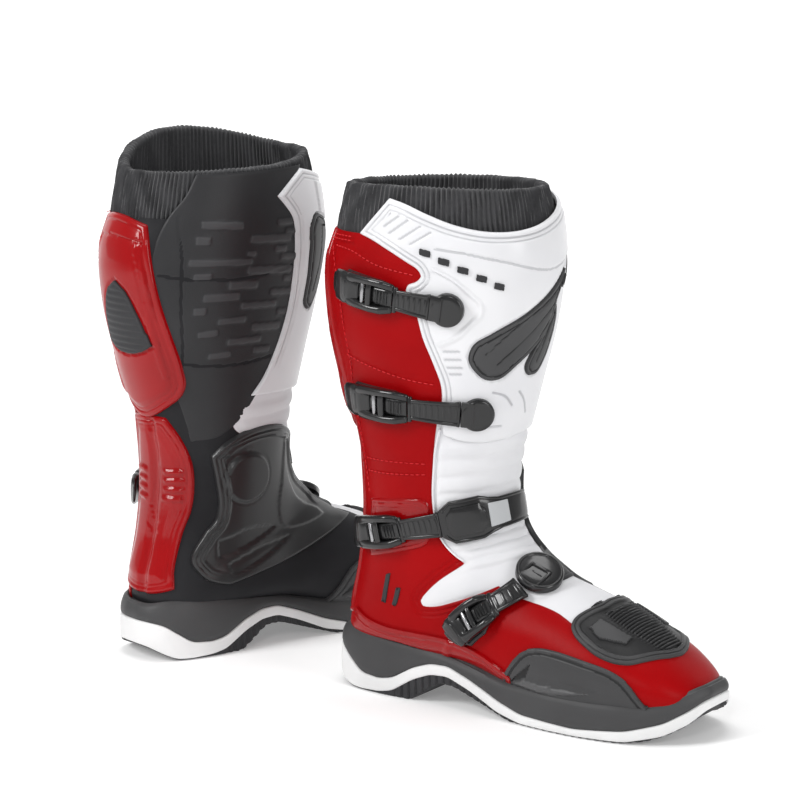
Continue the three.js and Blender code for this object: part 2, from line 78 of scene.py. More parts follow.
def skin(v, degrees):
    v, degrees = np.broadcast_arrays(np.asarray(v, float), np.asarray(degrees, float))
    row = stationAt(v)
    angle = np.radians(degrees)
    c, s = np.cos(angle), np.sin(angle)
    square = np.where(c > 0, row[..., 6], row[..., 7])
    r = (np.abs(c) ** square + np.abs(s) ** square) ** (-1 / square)
    return np.stack([(row[..., 0] + row[..., 2]) / 2 + (row[..., 0] - row[..., 2]) / 2 * c * r,
                     np.where(s > 0, row[..., 4], row[..., 5]) * s * r,
                     (row[..., 1] + row[..., 3]) / 2 + (row[..., 1] - row[..., 3]) / 2 * c * r], -1)


def unit(a):
    return a / np.maximum(np.linalg.norm(a, axis=-1, keepdims=True), 1e-9)


def skinNormal(v, degrees):
    v, degrees = np.broadcast_arrays(np.asarray(v, float), np.asarray(degrees, float))
    down = skin(np.minimum(v + 0.08, 14), degrees) - skin(np.maximum(v - 0.08, 0), degrees)
    around = skin(v, degrees + 2) - skin(v, degrees - 2)
    return unit(-np.cross(around, down))


# lines on the skin, each point [station, degrees]; a repeated point is a corner
def onLine(points, gap=1.2):
    pieces, run = [], [points[0]]
    for point in points[1:]:
        if tuple(point) == tuple(run[-1]):
            pieces.append(run)
            run = [point]
        else:
            run.append(point)
    pieces.append(run)
    out = []
    for run in pieces:
        if len(run) < 2:
            continue
        p = np.array(run, float)
        step = np.linalg.norm(np.diff(p * perStep, axis=0), axis=1)
        t = np.concatenate([[0], np.cumsum(step)])
        slope = np.diff(p, axis=0) / step[:, None]
        tangent = np.vstack([slope[:1], slope[-1:]]) if len(p) == 2 else np.vstack([
            slope[:1], (slope[1:] * step[:-1, None] + slope[:-1] * step[1:, None])
            / (step[1:] + step[:-1])[:, None], slope[-1:]])
        at = np.linspace(0, t[-1], max(int(t[-1] / gap), 2) + 1)
        k = np.clip(np.searchsorted(t, at, side="right") - 1, 0, len(step) - 1)
        h = step[k][:, None]
        u = ((at - t[k]) / step[k])[:, None]
        line = ((2 * u ** 3 - 3 * u ** 2 + 1) * p[k] + (u ** 3 - 2 * u ** 2 + u) * h * tangent[k]
                + (3 * u ** 2 - 2 * u ** 3) * p[k + 1] + (u ** 3 - u ** 2) * h * tangent[k + 1])
        out.append(line if not out else line[1:])
    return np.vstack(out)


def evenly(line, count):
    place = skin(line[:, 0], line[:, 1])
    t = np.concatenate([[0], np.cumsum(np.linalg.norm(np.diff(place, axis=0), axis=1))])
    at = np.linspace(0, t[-1], count)
    return np.stack([np.interp(at, t, line[:, i]) for i in range(2)], -1), t[-1]


def awayFrom(place, line, reach=14.0):
    # distance in mm of each place from a line of points, up to reach
    flat = place.reshape(-1, 3)
    away = np.full(len(flat), reach)
    near = np.where(((flat > line.min(0) - reach) & (flat < line.max(0) + reach)).all(1))[0]
    sub = flat[near]
    best = np.full(len(near), reach)
    for a, b in zip(line[:-1], line[1:]):
        pick = np.where((np.abs(sub - (a + b) / 2) < reach + np.abs(b - a)).all(1))[0]
        if not len(pick):
            continue
        ab = b - a
        t = np.clip((sub[pick] - a) @ ab / max(ab @ ab, 1e-9), 0, 1)
        best[pick] = np.minimum(best[pick], np.linalg.norm(sub[pick] - a - t[:, None] * ab, axis=1))
    away[near] = best
    return away.reshape(place.shape[:-1])


def within(v, degrees, outline):
    # whether each place on the skin is inside a closed outline
    hit = np.zeros(v.shape, bool)
    for (v0, d0), (v1, d1) in zip(outline, np.roll(outline, -1, axis=0)):
        if v0 != v1:
            cross = ((v0 > v) != (v1 > v)) & (degrees < (d1 - d0) * (v - v0) / (v1 - v0) + d0)
            hit ^= cross
    return hit


def deepIn(place, v, degrees, outline, reach=14.0):
    # distance inside a closed outline, negative outside
    closed = onLine(list(outline) + [outline[0]], 2.0)
    away = awayFrom(place, skin(closed[:, 0], closed[:, 1]), reach)
    return np.where(within(v, degrees, closed), away, -away)


def lineAway(place, line, reach=10.0):
    dense = onLine(line, 2.0)
    return awayFrom(place, skin(dense[:, 0], dense[:, 1]), reach)


def ease(x, low, high):
    t = np.clip((x - low) / (high - low), 0, 1)
    return t * t * (3 - 2 * t)


def rolled(x, radius):
    return np.sqrt(np.maximum(1 - (1 - np.clip(x / radius, 0, 1)) ** 2, 0))


def plateHeight(plate, edge):
    return plate["base"] + (plate["top"] - plate["base"]) * rolled(edge, plate["roll"])


def bead(away, width, height):
    return height * np.clip(1 - (away / (width / 2)) ** 2, 0, 1)


# making pieces
def gridPiece(name, points, closed=False):
    rows, columns = points.shape[:2]
    bpy.ops.mesh.primitive_grid_add(x_subdivisions=columns - 1, y_subdivisions=rows - 1, size=1)
    piece = bpy.context.object
    piece.name = name
    piece.data.vertices.foreach_set("co", points.reshape(-1).astype(np.float32))
    piece.data.update()
    if closed:
        bpy.ops.object.mode_set(mode="EDIT")
        bpy.ops.mesh.select_all(action="SELECT")
        bpy.ops.mesh.remove_doubles(threshold=0.004)
        bpy.ops.mesh.delete_loose()
        bpy.ops.mesh.select_all(action="SELECT")
        bpy.ops.mesh.normals_make_consistent(inside=False)
        bpy.ops.object.mode_set(mode="OBJECT")
    return piece


def finished(piece, kind, **values):
    modifier = piece.modifiers.new(kind.title(), kind)
    for key, value in values.items():
        setattr(modifier, key, value)
    bpy.context.view_layer.objects.active = piece
    bpy.ops.object.modifier_apply(modifier=modifier.name)
    return piece


def smoothed(piece, degrees=40):
    bpy.ops.object.select_all(action="DESELECT")
    piece.select_set(True)
    bpy.context.view_layer.objects.active = piece
    bpy.ops.object.shade_smooth_by_angle(angle=math.radians(degrees))
    return piece


def joined(pieces, name):
    bpy.ops.object.select_all(action="DESELECT")
    for piece in pieces:
        piece.select_set(True)
    bpy.context.view_layer.objects.active = pieces[0]
    if len(pieces) > 1:
        bpy.ops.object.join()
    pieces[0].name = name
    return pieces[0]


def skinPiece(name, v, degrees, height, wall=1.4, closed=False, marks=None):
    # a sheet on the skin with a wall going inwards; marks are masks kept on its points
    points = skin(v, degrees) + skinNormal(v, degrees) * height[..., None]
    piece = gridPiece(name, points)
    for mark, values in (marks or {}).items():
        kept = piece.data.attributes.new(mark, "FLOAT", "POINT").data
        kept.foreach_set("value", values.ravel().astype(np.float32))
    normal = piece.data.polygons[len(piece.data.polygons) // 2]
    middle = np.array(normal.center)
    nearest = np.argmin(np.linalg.norm(points.reshape(-1, 3) - middle, axis=1))
    out = skinNormal(v, degrees).reshape(-1, 3)[nearest]
    if np.dot(out, np.array(normal.normal)) < 0:
        piece.data.flip_normals()
    if closed:
        bpy.ops.object.mode_set(mode="EDIT")
        bpy.ops.mesh.select_all(action="SELECT")
        bpy.ops.mesh.remove_doubles(threshold=0.004)
        bpy.ops.object.mode_set(mode="OBJECT")
    if wall:
        finished(piece, "SOLIDIFY", thickness=wall, offset=-1)
    return piece


def patch(name, top, bottom, left, right, shape, spacing=1.4, wall=1.4):
    # a panel between four lines; shape(place, v, degrees, edge) gives its height, and may give marks
    lines = [onLine(line) for line in (top, bottom, left, right)]
    halves = [skin(*evenly(line, 3)[0][1]) for line in lines]
    across = max(evenly(lines[0], 2)[1], evenly(lines[1], 2)[1],
                 np.linalg.norm(halves[2] - halves[3]) * 1.1)
    down = max(evenly(lines[2], 2)[1], evenly(lines[3], 2)[1],
               np.linalg.norm(halves[0] - halves[1]) * 1.1)
    columns, rows = int(across / spacing) + 2, int(down / spacing) + 2
    topLine, bottomLine = (evenly(line, columns)[0][None] for line in lines[:2])
    leftLine, rightLine = (evenly(line, rows)[0][:, None] for line in lines[2:])
    s = np.linspace(0, 1, columns)[None, :, None]
    t = np.linspace(0, 1, rows)[:, None, None]
    spot = ((1 - s) * leftLine + s * rightLine + (1 - t) * topLine + t * bottomLine
            - (1 - s) * (1 - t) * leftLine[:1] - s * (1 - t) * rightLine[:1]
            - (1 - s) * t * leftLine[-1:] - s * t * rightLine[-1:])
    v, degrees = spot[..., 0], spot[..., 1]
    place = skin(v, degrees)
    edge = np.minimum.reduce([awayFrom(place, skin(line[:, 0], line[:, 1])) for line in lines])
    height = shape(place, v, degrees, edge)
    height, marks = height if isinstance(height, tuple) else (height, None)
    return skinPiece(name, v, degrees, height, wall, marks=marks)


def leaf(name, outline, base, top, roll, feature=None, spacing=0.7, wall=1.6):
    # an island on the skin inside one closed outline: rings shrink towards its middle line
    closed = onLine(list(outline) + [outline[0]], spacing)
    count = max(int(evenly(closed, 2)[1] / spacing), 24)
    rim, _ = evenly(closed, count + 1)
    middle = rim[:-1].mean(0)
    scaled = (rim - middle) * perStep
    direction = np.linalg.svd(scaled[:-1])[2][0]
    along = scaled @ direction
    spine = middle + (along * 0.72)[:, None] * direction / perStep
    steps = max(int(np.abs(scaled - along[:, None] * direction).max() / spacing), 6)
    share = np.concatenate([np.linspace(0, 0.25, 6, endpoint=False),
                            np.linspace(0.25, 1, steps)])[:, None, None]
    spot = (1 - share) * rim[None] + share * spine[None]
    v, d = spot[..., 0], spot[..., 1]
    place = skin(v, d)
    edge = awayFrom(place, skin(closed[:, 0], closed[:, 1]), 14)
    height = base + (top - base) * rolled(edge, roll)
    marks = None
    if feature:
        height, marks = feature(place, v, d, edge, height)
    return skinPiece(name, v, d, height, wall=wall, closed=True, marks=marks)


def tubeOn(name, line, radius, lift, ring=8, dash=None):
    # a round bead or, with dash=(stitch, gap), a row of stitches along a line on the skin
    dense = onLine(line, 0.8)
    length = evenly(dense, 2)[1]
    if dash:
        count = max(int(length / sum(dash)), 1)
        share = np.array([0, 0.06, 0.3, 0.7, 0.94, 1])
        at = np.concatenate([(i + share * dash[0] / sum(dash)) / count for i in range(count)])
        size = np.tile([0, 0.75, 1, 1, 0.75, 0], count)
        arch = np.tile([-0.9, -0.2, 0, 0, -0.2, -0.9], count)
    else:
        at = np.concatenate([[0], np.linspace(0, 1, int(length / 1.5) + 4), [1]])
        size = np.ones(len(at))
        size[[0, -1]] = 0
        arch = np.zeros(len(at))
    place = skin(dense[:, 0], dense[:, 1])
    t = np.concatenate([[0], np.cumsum(np.linalg.norm(np.diff(place, axis=0), axis=1))]) / length
    v, degrees = (np.interp(at, t, dense[:, i]) for i in range(2))
    ahead = [np.interp(np.clip(at + shift, 0, 1), t, dense[:, i]) for shift in (0.004, -0.004)
             for i in range(2)]
    along = unit(skin(ahead[0], ahead[1]) - skin(ahead[2], ahead[3]))
    normal = skinNormal(v, degrees)
    side = unit(np.cross(normal, along))
    liftNow = (lift(v, degrees) if callable(lift) else lift) + arch * radius
    turn = np.linspace(0, 2 * np.pi, ring + 1)
    liftNow = liftNow if np.ndim(liftNow) else np.full(len(at), liftNow)
    centre = skin(v, degrees) + normal * liftNow[:, None]
    points = (centre[:, None] + (size * radius)[:, None, None]
              * (np.cos(turn)[None, :, None] * side[:, None]
                 + np.sin(turn)[None, :, None] * normal[:, None]))
    return gridPiece(name, points, closed=True)


# materials
def group(name, outputs, inputs):
    made = bpy.data.node_groups.new(name, "ShaderNodeTree")
    for socket, value in inputs.items():
        item = made.interface.new_socket(socket, in_out="INPUT", socket_type="NodeSocketFloat")
        item.default_value = value
    for socket, kind in outputs.items():
        made.interface.new_socket(socket, in_out="OUTPUT", socket_type=kind)
    return made, made.nodes.new("NodeGroupInput"), made.nodes.new("NodeGroupOutput")


def node(tree, kind, links=None, **values):
    made = tree.nodes.new(kind)
    for key, value in values.items():
        setattr(made, key, value)
    for socket, source in (links or {}).items():
        if isinstance(source, bpy.types.NodeSocket):
            tree.links.new(source, made.inputs[socket])
        else:
            made.inputs[socket].default_value = source
    return made


# grain of leather or moulded plastic: cells with soft creases between them
grainGroup, given, result = group("surfaceGrain",
                                  {"Height": "NodeSocketFloat", "Shade": "NodeSocketFloat",
                                   "Rough": "NodeSocketFloat"},
                                  {"Scale": 900.0, "Roughness": 0.4, "Spread": 0.1})
place = node(grainGroup, "ShaderNodeTexCoord")
cells = node(grainGroup, "ShaderNodeTexVoronoi",
             {"Vector": place.outputs["Object"], "Scale": given.outputs["Scale"]},
             feature="F1")
fine = node(grainGroup, "ShaderNodeTexNoise",
            {"Vector": place.outputs["Object"], "Scale": 260.0, "Detail": 5.0})
broad = node(grainGroup, "ShaderNodeTexNoise",
             {"Vector": place.outputs["Object"], "Scale": 14.0, "Detail": 3.0})
mixHeight = node(grainGroup, "ShaderNodeMath", {0: cells.outputs["Distance"], 1: fine.outputs["Fac"]},
                 operation="ADD")
shade = node(grainGroup, "ShaderNodeMapRange", {"Value": broad.outputs["Fac"], "From Min": 0.3,
                                                "From Max": 0.7, "To Min": 0.0, "To Max": 1.0})
spread = node(grainGroup, "ShaderNodeMath", {0: fine.outputs["Fac"], 1: given.outputs["Spread"]},
              operation="MULTIPLY")
rough = node(grainGroup, "ShaderNodeMath", {0: given.outputs["Roughness"], 1: spread.outputs[0]},
             operation="ADD")
grainGroup.links.new(mixHeight.outputs[0], result.inputs["Height"])
grainGroup.links.new(shade.outputs["Result"], result.inputs["Shade"])
grainGroup.links.new(rough.outputs[0], result.inputs["Rough"])

# woven or knitted threads
weaveGroup, given, result = group("threads", {"Height": "NodeSocketFloat", "Shade": "NodeSocketFloat"},
                                  {"Scale": 800.0})
place = node(weaveGroup, "ShaderNodeTexCoord")
waves = [node(weaveGroup, "ShaderNodeTexWave", {"Vector": place.outputs["Object"],
                                                "Scale": given.outputs["Scale"], "Distortion": 0.6,
                                                "Detail": 1.0}, bands_direction=axis)
         for axis in ("Z", "DIAGONAL")]
crossing = node(weaveGroup, "ShaderNodeMath", {0: waves[0].outputs["Fac"], 1: waves[1].outputs["Fac"]},
                operation="MULTIPLY")
fuzz = node(weaveGroup, "ShaderNodeTexNoise",
            {"Vector": place.outputs["Object"], "Scale": 420.0, "Detail": 3.0})
together = node(weaveGroup, "ShaderNodeMath", {0: crossing.outputs[0], 1: fuzz.outputs["Fac"]},
                operation="ADD")
weaveGroup.links.new(together.outputs[0], result.inputs["Height"])
weaveGroup.links.new(fuzz.outputs["Fac"], result.inputs["Shade"])


def colour(red, green, blue):
    # a display colour, 0 to 255, as the shader wants it
    return tuple(((c / 255 + 0.055) / 1.055) ** 2.4 if c > 10 else c / 255 / 12.92
                 for c in (red, green, blue)) + (1.0,)


bumpHigh = 0.0003  # metres


finishes = {}


def finish(name, dark, light, rough, spread=0.1, grain=900.0, depth=0.3, coat=0.0, coatRough=0.1,
           weave=None, metal=0.0, level=0.3, sheen=0.0):
    made = bpy.data.materials.new(name)
    made.use_nodes = True
    tree = made.node_tree
    shader = tree.nodes["Principled BSDF"]
    source = node(tree, "ShaderNodeGroup")
    if weave:
        source.node_tree = weaveGroup
        source.inputs["Scale"].default_value = weave
    else:
        source.node_tree = grainGroup
        source.inputs["Scale"].default_value = grain
        source.inputs["Roughness"].default_value = rough - spread / 2
        source.inputs["Spread"].default_value = spread
    ramp = node(tree, "ShaderNodeValToRGB", {"Fac": source.outputs["Shade"]})
    ramp.color_ramp.elements[0].color = colour(*dark)
    ramp.color_ramp.elements[1].color = colour(*light)
    tree.links.new(ramp.outputs["Color"], shader.inputs["Base Color"])
    if weave:
        shader.inputs["Roughness"].default_value = rough
    else:
        tree.links.new(source.outputs["Rough"], shader.inputs["Roughness"])
    bump = node(tree, "ShaderNodeBump",
                {"Height": source.outputs["Height"], "Strength": depth, "Distance": bumpHigh})
    tree.links.new(bump.outputs["Normal"], shader.inputs["Normal"])
    for socket, value in (("Metallic", metal), ("Coat Weight", coat), ("Coat Roughness", coatRough),
                          ("Specular IOR Level", level), ("Sheen Weight", sheen)):
        shader.inputs[socket].default_value = value
    finishes[name] = made
    return made


def zonedFinish(name, zones, *start, **settings):
    # a finish whose colour changes along the marks kept on the mesh
    made = finish(name, *start, **settings)
    tree = made.node_tree
    shader = tree.nodes["Principled BSDF"]
    source = shader.inputs["Base Color"].links[0].from_socket
    shades = next(n for n in tree.nodes if n.type == "GROUP").outputs["Shade"]
    for attribute, dark, light in zones:
        depth = node(tree, "ShaderNodeAttribute", attribute_name=attribute)
        mask = node(tree, "ShaderNodeMapRange",
                    {"Value": depth.outputs["Fac"], "From Min": -0.25, "From Max": 0.25})
        ramp = node(tree, "ShaderNodeValToRGB", {"Fac": shades})
        ramp.color_ramp.elements[0].color = colour(*dark)
        ramp.color_ramp.elements[1].color = colour(*light)
        mix = node(tree, "ShaderNodeMix", data_type="RGBA")
        tree.links.new(mask.outputs["Result"], mix.inputs["Factor"])
        tree.links.new(source, mix.inputs["A"])
        tree.links.new(ramp.outputs["Color"], mix.inputs["B"])
        source = mix.outputs["Result"]
    tree.links.new(source, shader.inputs["Base Color"])


finish("red_plastic", (138, 2, 6), (152, 4, 9), 0.3, grain=1800, depth=0.02, coat=0.5, coatRough=0.07,
       level=0.07)
finish("white_leather", (214, 214, 217), (228, 228, 230), 0.5, grain=1100, depth=0.2)
finish("white_rubber", (214, 214, 214), (232, 232, 232), 0.55, grain=700, depth=0.12)
finish("dark_rubber", (58, 58, 59), (66, 66, 67), 0.5, grain=1300, depth=0.1)
finish("black_rubber", (42, 42, 44), (52, 52, 54), 0.6, grain=900, depth=0.2)
finish("black_plastic", (34, 34, 35), (42, 42, 43), 0.36, grain=1500, depth=0.04, coat=0.3, coatRough=0.2)
finish("black_gloss", (20, 20, 21), (27, 27, 28), 0.34, grain=1800, depth=0.0, coat=0.7, coatRough=0.12,
       level=0.2)
finish("black_fabric", (38, 38, 40), (50, 50, 52), 0.9, weave=520, depth=0.5, sheen=0.2)
finish("black_knit", (46, 46, 48), (64, 64, 66), 0.88, weave=700, depth=0.5, sheen=0.25)
finish("grey_reflective", (176, 178, 180), (196, 198, 200), 0.35, grain=2400, depth=0.1)
finish("steel", (150, 150, 152), (176, 176, 178), 0.28, grain=600, depth=0.05, metal=1.0)
# red thread made lighter than the leather: a painted highlight on the stitches
finish("red_thread", (196, 36, 42), (214, 60, 64), 0.6, grain=2400, depth=0.3, level=0.1)


def wears(piece, *names):
    piece.data.materials.clear()
    for name in names:
        piece.data.materials.append(finishes[name])
    return piece


# laying a canonical piece on both boots
ankleLocal = (-10.0, 0.0, 112.0)
boots = {}
for side in sides:
    hinge = next(j for j in frame["joints"] if j["name"] == side + "_ankle_flex")
    axis = hinge["axis"]
    heading = math.atan2(-axis[0], axis[1])
    pivot = np.array(hinge["pos_m"]) * 1000
    turn = np.array([[math.cos(heading), -math.sin(heading), 0],
                     [math.sin(heading), math.cos(heading), 0], [0, 0, 1]])
    origin = pivot - turn @ np.array(ankleLocal)
    boots[side] = {"turn": turn, "origin": origin, "mirror": -1 if side == "right" else 1}
    print("boot", side, round(math.degrees(heading), 2), origin.round(2))


def toRow(side, local):
    boot = boots[side]
    local = np.asarray(local, float) * (1, boot["mirror"], 1)
    return (local @ boot["turn"].T + boot["origin"]) / 1000


def lay(piece, name, body, slot, replaced=(), only=None):
    # copies a canonical piece on to both boots; a piece on body "ankle" is baked in place and hung on no
    # body
    for side in sides if only is None else (only,):
        copy = piece.copy()
        copy.data = piece.data.copy()
        bpy.context.scene.collection.objects.link(copy)
        copy.name = side + "_" + name
        co = np.zeros(len(copy.data.vertices) * 3, np.float32)
        copy.data.vertices.foreach_get("co", co)
        copy.data.vertices.foreach_set("co", toRow(side, co.reshape(-1, 3)).astype(np.float32).ravel())
        if side == "right":
            copy.data.flip_normals()
        copy.data.update()
        if body == "ankle":
            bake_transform(copy)
        else:
            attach(copy, side + "_" + body)
        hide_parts(*[side + "_" + n for n in replaced])
    bpy.data.objects.remove(piece)


def fit(piece, wearing, degrees, *where, **more):
    # dresses a shaped piece, smooths it and lays it on the boots
    lay(smoothed(wears(piece, wearing), degrees), *where, **more)


# upper
whiteFront = [(3.3, 66), (3.88, 68), (4.28, 69), (4.72, 70), (5.0, 70), (5.72, 68), (6.24, 62), (6.6, 57),
              (6.6, 57), (6.96, 78), (7.2, 86), (7.38, 90), (7.52, 91), (7.68, 90), (7.8, 84), (7.8, 74),
              (7.74, 60), (7.64, 48), (7.64, 48), (8.0, 46.5), (8.52, 46), (9.4, 44), (9.92, 47),
              (9.92, 47), (10.4, 20), (10.3, -36), (9.9, -36), (9.9, -36), (8.96, -24), (7.9, -20),
              (6.76, -18), (5.6, -30), (4.9, -62), (4.4, -92), (4.12, -105), (3.8, -99), (3.3, -88),
              (3.3, -88)]
blackInner = [(0.2, -50), (0.2, -50), (0.2, -206), (0.2, -206), (11.4, -206), (11.4, -206), (11.4, -130),
              (11.3, -76), (10.9, -52), (10.2, -37), (9.9, -34.5), (9.4, -28), (8.96, -22.5),
              (7.9, -18.5), (6.76, -17), (5.6, -30), (4.9, -62), (4.4, -92), (4.12, -105), (3.8, -99),
              (3.4, -84), (3.1, -62), (2.4, -52), (1.2, -50)]
fingerLine = whiteFront[8:18]
upper = {"top": 0.64, "white": 0.7, "red": 1.7, "black": 0.9, "creaseDeep": 1.5, "hemIn": 3.6}
shaftCreases = [(3.78, 0.02), (4.08, 0.05), (4.42, 0.04), (4.78, 0.02), (5.12, 0.0)]
bellowsCreases = [(5.72, -0.03), (6.0, -0.05), (6.3, -0.06), (6.62, -0.08), (6.95, -0.1)]
upperSeams = [[(0.82, 132), (0.86, 118), (1.04, 101), (1.16, 80)],
              [(2.44, 128), (2.5, 119), (2.6, 104), (2.72, 84), (2.78, 68)],
              [(0.75, 141), (1.3, 134), (2.0, 130), (2.5, 129), (3.1, 133), (3.9, 135), (4.8, 133),
               (5.3, 131)]]
rows = np.concatenate([np.linspace(upper["top"], 3.4, 62, endpoint=False),
                       np.linspace(3.4, 10.4, 152, endpoint=False),
                       np.linspace(10.4, 14, 30)])
degrees = np.concatenate([np.linspace(-200, -60, 44, endpoint=False),
                          np.linspace(-60, 110, 126, endpoint=False),
                          np.linspace(110, 160, 24)])
v, d = np.meshgrid(rows, degrees, indexing="ij")
place = skin(v, d)
white = deepIn(place, v, d, whiteFront)
black = deepIn(place, v, d, blackInner)
finger = onLine(fingerLine, 2.0)
fingerAway = awayFrom(place, skin(finger[:, 0], finger[:, 1]))
height = np.where(black > white, upper["black"], upper["white"])
outer = -np.maximum(white, black)
height = height + (upper["red"] - upper["white"]) * ease(outer, -0.2, 1.4)
for lines in (shaftCreases, bellowsCreases):
    levels = [at + tilt * np.sin(np.radians(d)) + 0.012 * np.sin(d * 0.21 + at * 9) for at, tilt in lines]
    for above, below in zip(levels[:-1], levels[1:]):
        share = (v - above) / (below - above)
        pillow = np.where((share > 0) & (share < 1), 1 - np.abs(2 * share - 1) ** 2.4, 0)
        height += upper["creaseDeep"] * pillow * ease(white, 1.5, 7)
puff = 2.2 * rolled(np.maximum(white, 0), 9)
puff = puff * ease(v, 6.7, 7.15) * ease(-v, -7.85, -7.7) * ease(d, 46, 62)
height += np.where(white > 0, puff, 0)
height -= 0.35 * bead(np.abs(white - 3.0), 1.6, 1) * ease(white, 1, 2) * (v < 5.3)
onFoot = (v > 6.3) & (v < 8.3) & (d > 50)
for gap, deep in ((3.6, 1.1), (7.2, 1.0)):
    height -= np.where(onFoot & (white < 0), bead(np.abs(fingerAway - gap), 2.4, deep), 0)
for line in upperSeams:
    seam = onLine(line, 2.0)
    away = awayFrom(place, skin(seam[:, 0], seam[:, 1]))
    height -= np.where(outer > 0, bead(away, 2.6, 0.6), 0)
height += np.where((outer > 0) & (v < 5),
                   0.5 * np.sin(v * 7.5 + d * 0.03) * ease(d, 80, 100) * ease(-d, -150, -125), 0)
hem = upper["hemIn"] * (1 - ease(v, 0.62, 1.15))
height -= hem * ease(d, 60, 100) + hem * ease(-d, 125, 150)
innerSeam = onLine([(3.86, -152), (4.2, -140), (4.6, -128), (4.9, -122)], 2.0)
height -= bead(awayFrom(place, skin(innerSeam[:, 0], innerSeam[:, 1])), 2.2, 0.6)
body = skinPiece("upper", v, d, height, wall=2.0, closed=True,
                 marks={"whiteDepth": np.clip(white, -12, 12), "blackDepth": np.clip(black, -12, 12)})


zonedFinish("upper_leather",
            (("whiteDepth", (214, 214, 217), (228, 228, 230)),
             ("blackDepth", (34, 34, 36), (44, 44, 46))),
            (142, 2, 6), (156, 4, 8), 0.4, grain=1300, depth=0.12, level=0.07)
fit(body, "upper_leather", 60, "upper", "ankle", "red_leather", ("foot_upper", "shaft_upper", "bellows"))
print("upper done")

# stitching
stitch = {"radius": 0.42, "dash": (3.0, 1.3), "lift": 2.15}
redLines = [[(a + 0.04, b) for a, b in upperSeams[0]], [(a + 0.04, b) for a, b in upperSeams[1]],
            [(4.16, 128), (4.17, 100), (4.18, 73)], [(4.38, 128), (4.39, 100), (4.38, 73)],
            [(0.7, 140), (0.7, 118)], [(0.76, 140), (0.76, 118)],
            [(0.8, 138), (1.3, 131), (2.0, 127), (2.5, 126), (3.1, 130), (3.9, 132), (4.8, 130)]]
threads = joined([tubeOn("stitch", line, stitch["radius"], stitch["lift"], ring=6, dash=stitch["dash"])
                  for line in redLines], "stitching")
fit(threads, "red_thread", 80, "stitching", "shaft", "red_thread")
piping = joined([tubeOn("piping",
                        [(3.55, 64.5), (3.88, 67), (4.28, 68.2), (4.72, 69), (5.0, 69), (5.72, 67),
                         (6.24, 61.2), (6.52, 57)],
                        0.9, 1.5)], "piping")
fit(piping, "white_leather", 80, "white_piping", "ankle", "white_leather")

# collar: ribbed elastic over a soft core
collar = {"ribs": 128, "ribDeep": 1.9, "inner": -11.0, "outer": -4.2, "hem": 0.7, "depth": 0.62}
rises = {"right": (3, 0, 2), "left": (4, 9, 24)}


def makeCollar(side):
    rise = rises[side]
    columns = collar["ribs"] * 5
    d = np.linspace(-180, 180, columns + 1)
    angle = np.radians(d)
    rim = (rise[0] + rise[1] * np.maximum(np.cos(angle), 0) ** 2
           + rise[2] * np.maximum(np.sin(angle), 0) ** 2)
    out = collar["outer"]
    inn = collar["inner"]
    middle, half = (out + inn) / 2, (out - inn) / 2
    path = [(collar["hem"], out, 0.0, 0.3)]
    path += [(collar["hem"] * (1 - t), out, 0.0, 1.0) for t in np.linspace(0.08, 0.92, 14)]
    path += [(0.0, middle + half * math.cos(t), math.sin(t), 1.0) for t in np.linspace(0, math.pi, 9)]
    path += [(collar["depth"] * t, inn, 0.0, 0.8) for t in np.linspace(0.1, 1, 12)]
    path += [(collar["depth"] + 0.08, inn, 0.0, 0.0), (collar["depth"] + 0.08, middle, 0.0, 0.0)]
    path.append(path[0])
    wander = 0.35 * np.sin(angle * 23) + 0.3 * np.sin(angle * 41 + 1)
    lines = []
    for i, (v, lift, crown, deep) in enumerate(path):
        phase = collar["ribs"] * angle + wander + 0.25 * math.sin(i * 0.7)
        strength = 0.75 + 0.25 * np.sin(angle * 17 + i * 0.45)
        covered = ease(d, -134, -128) * ease(-d, 54, 60)
        rib = (collar["ribDeep"] * deep * (1 - covered * (lift == out))
               * (1 - np.abs(np.sin(phase / 2)) ** 1.4 * 1.4) * strength)
        bulge = 1.3 * math.sin(math.pi * min(v / collar["hem"], 1)) * (1 if lift == out else -0.5)
        point = skin(np.full_like(d, v), d)
        normal = skinNormal(np.full_like(d, v), d)
        outwards = (lift - middle) / half
        bulge = bulge * (1 - 1.1 * covered)
        point = point + normal * (lift + bulge + rib * (outwards if abs(outwards) > 0.2 else 0))[:, None]
        rising = 1 - ease(np.full_like(d, v), 0.0, 0.5)
        point[:, 2] += (rim * rising - half * 0.8 + crown * (half * 0.8 + rib * 0.6)
                        + half * 0.8 * (1 - rising))
        lines.append(point)
    return gridPiece("collar", np.array(lines), closed=True)


for side in sides:
    fit(makeCollar(side), "black_knit", 70, "collar", "shaft", "black_knit", ("collar",), only=side)
print("collars done")

# lining
rows, degrees = np.linspace(0.42, 12.9, 72), np.linspace(-180, 180, 85)
v, d = np.meshgrid(rows, degrees, indexing="ij")
quilt = 0.5 * np.abs(np.sin(v * 5)) * (1 - ease(v, 4.5, 5.5))
piece = skinPiece("lining", v, d, -6.4 + quilt, wall=1.6, closed=True)
fit(piece, "black_fabric", 60, "lining", "ankle", "black_fabric", ("lining",))
print("lining done")

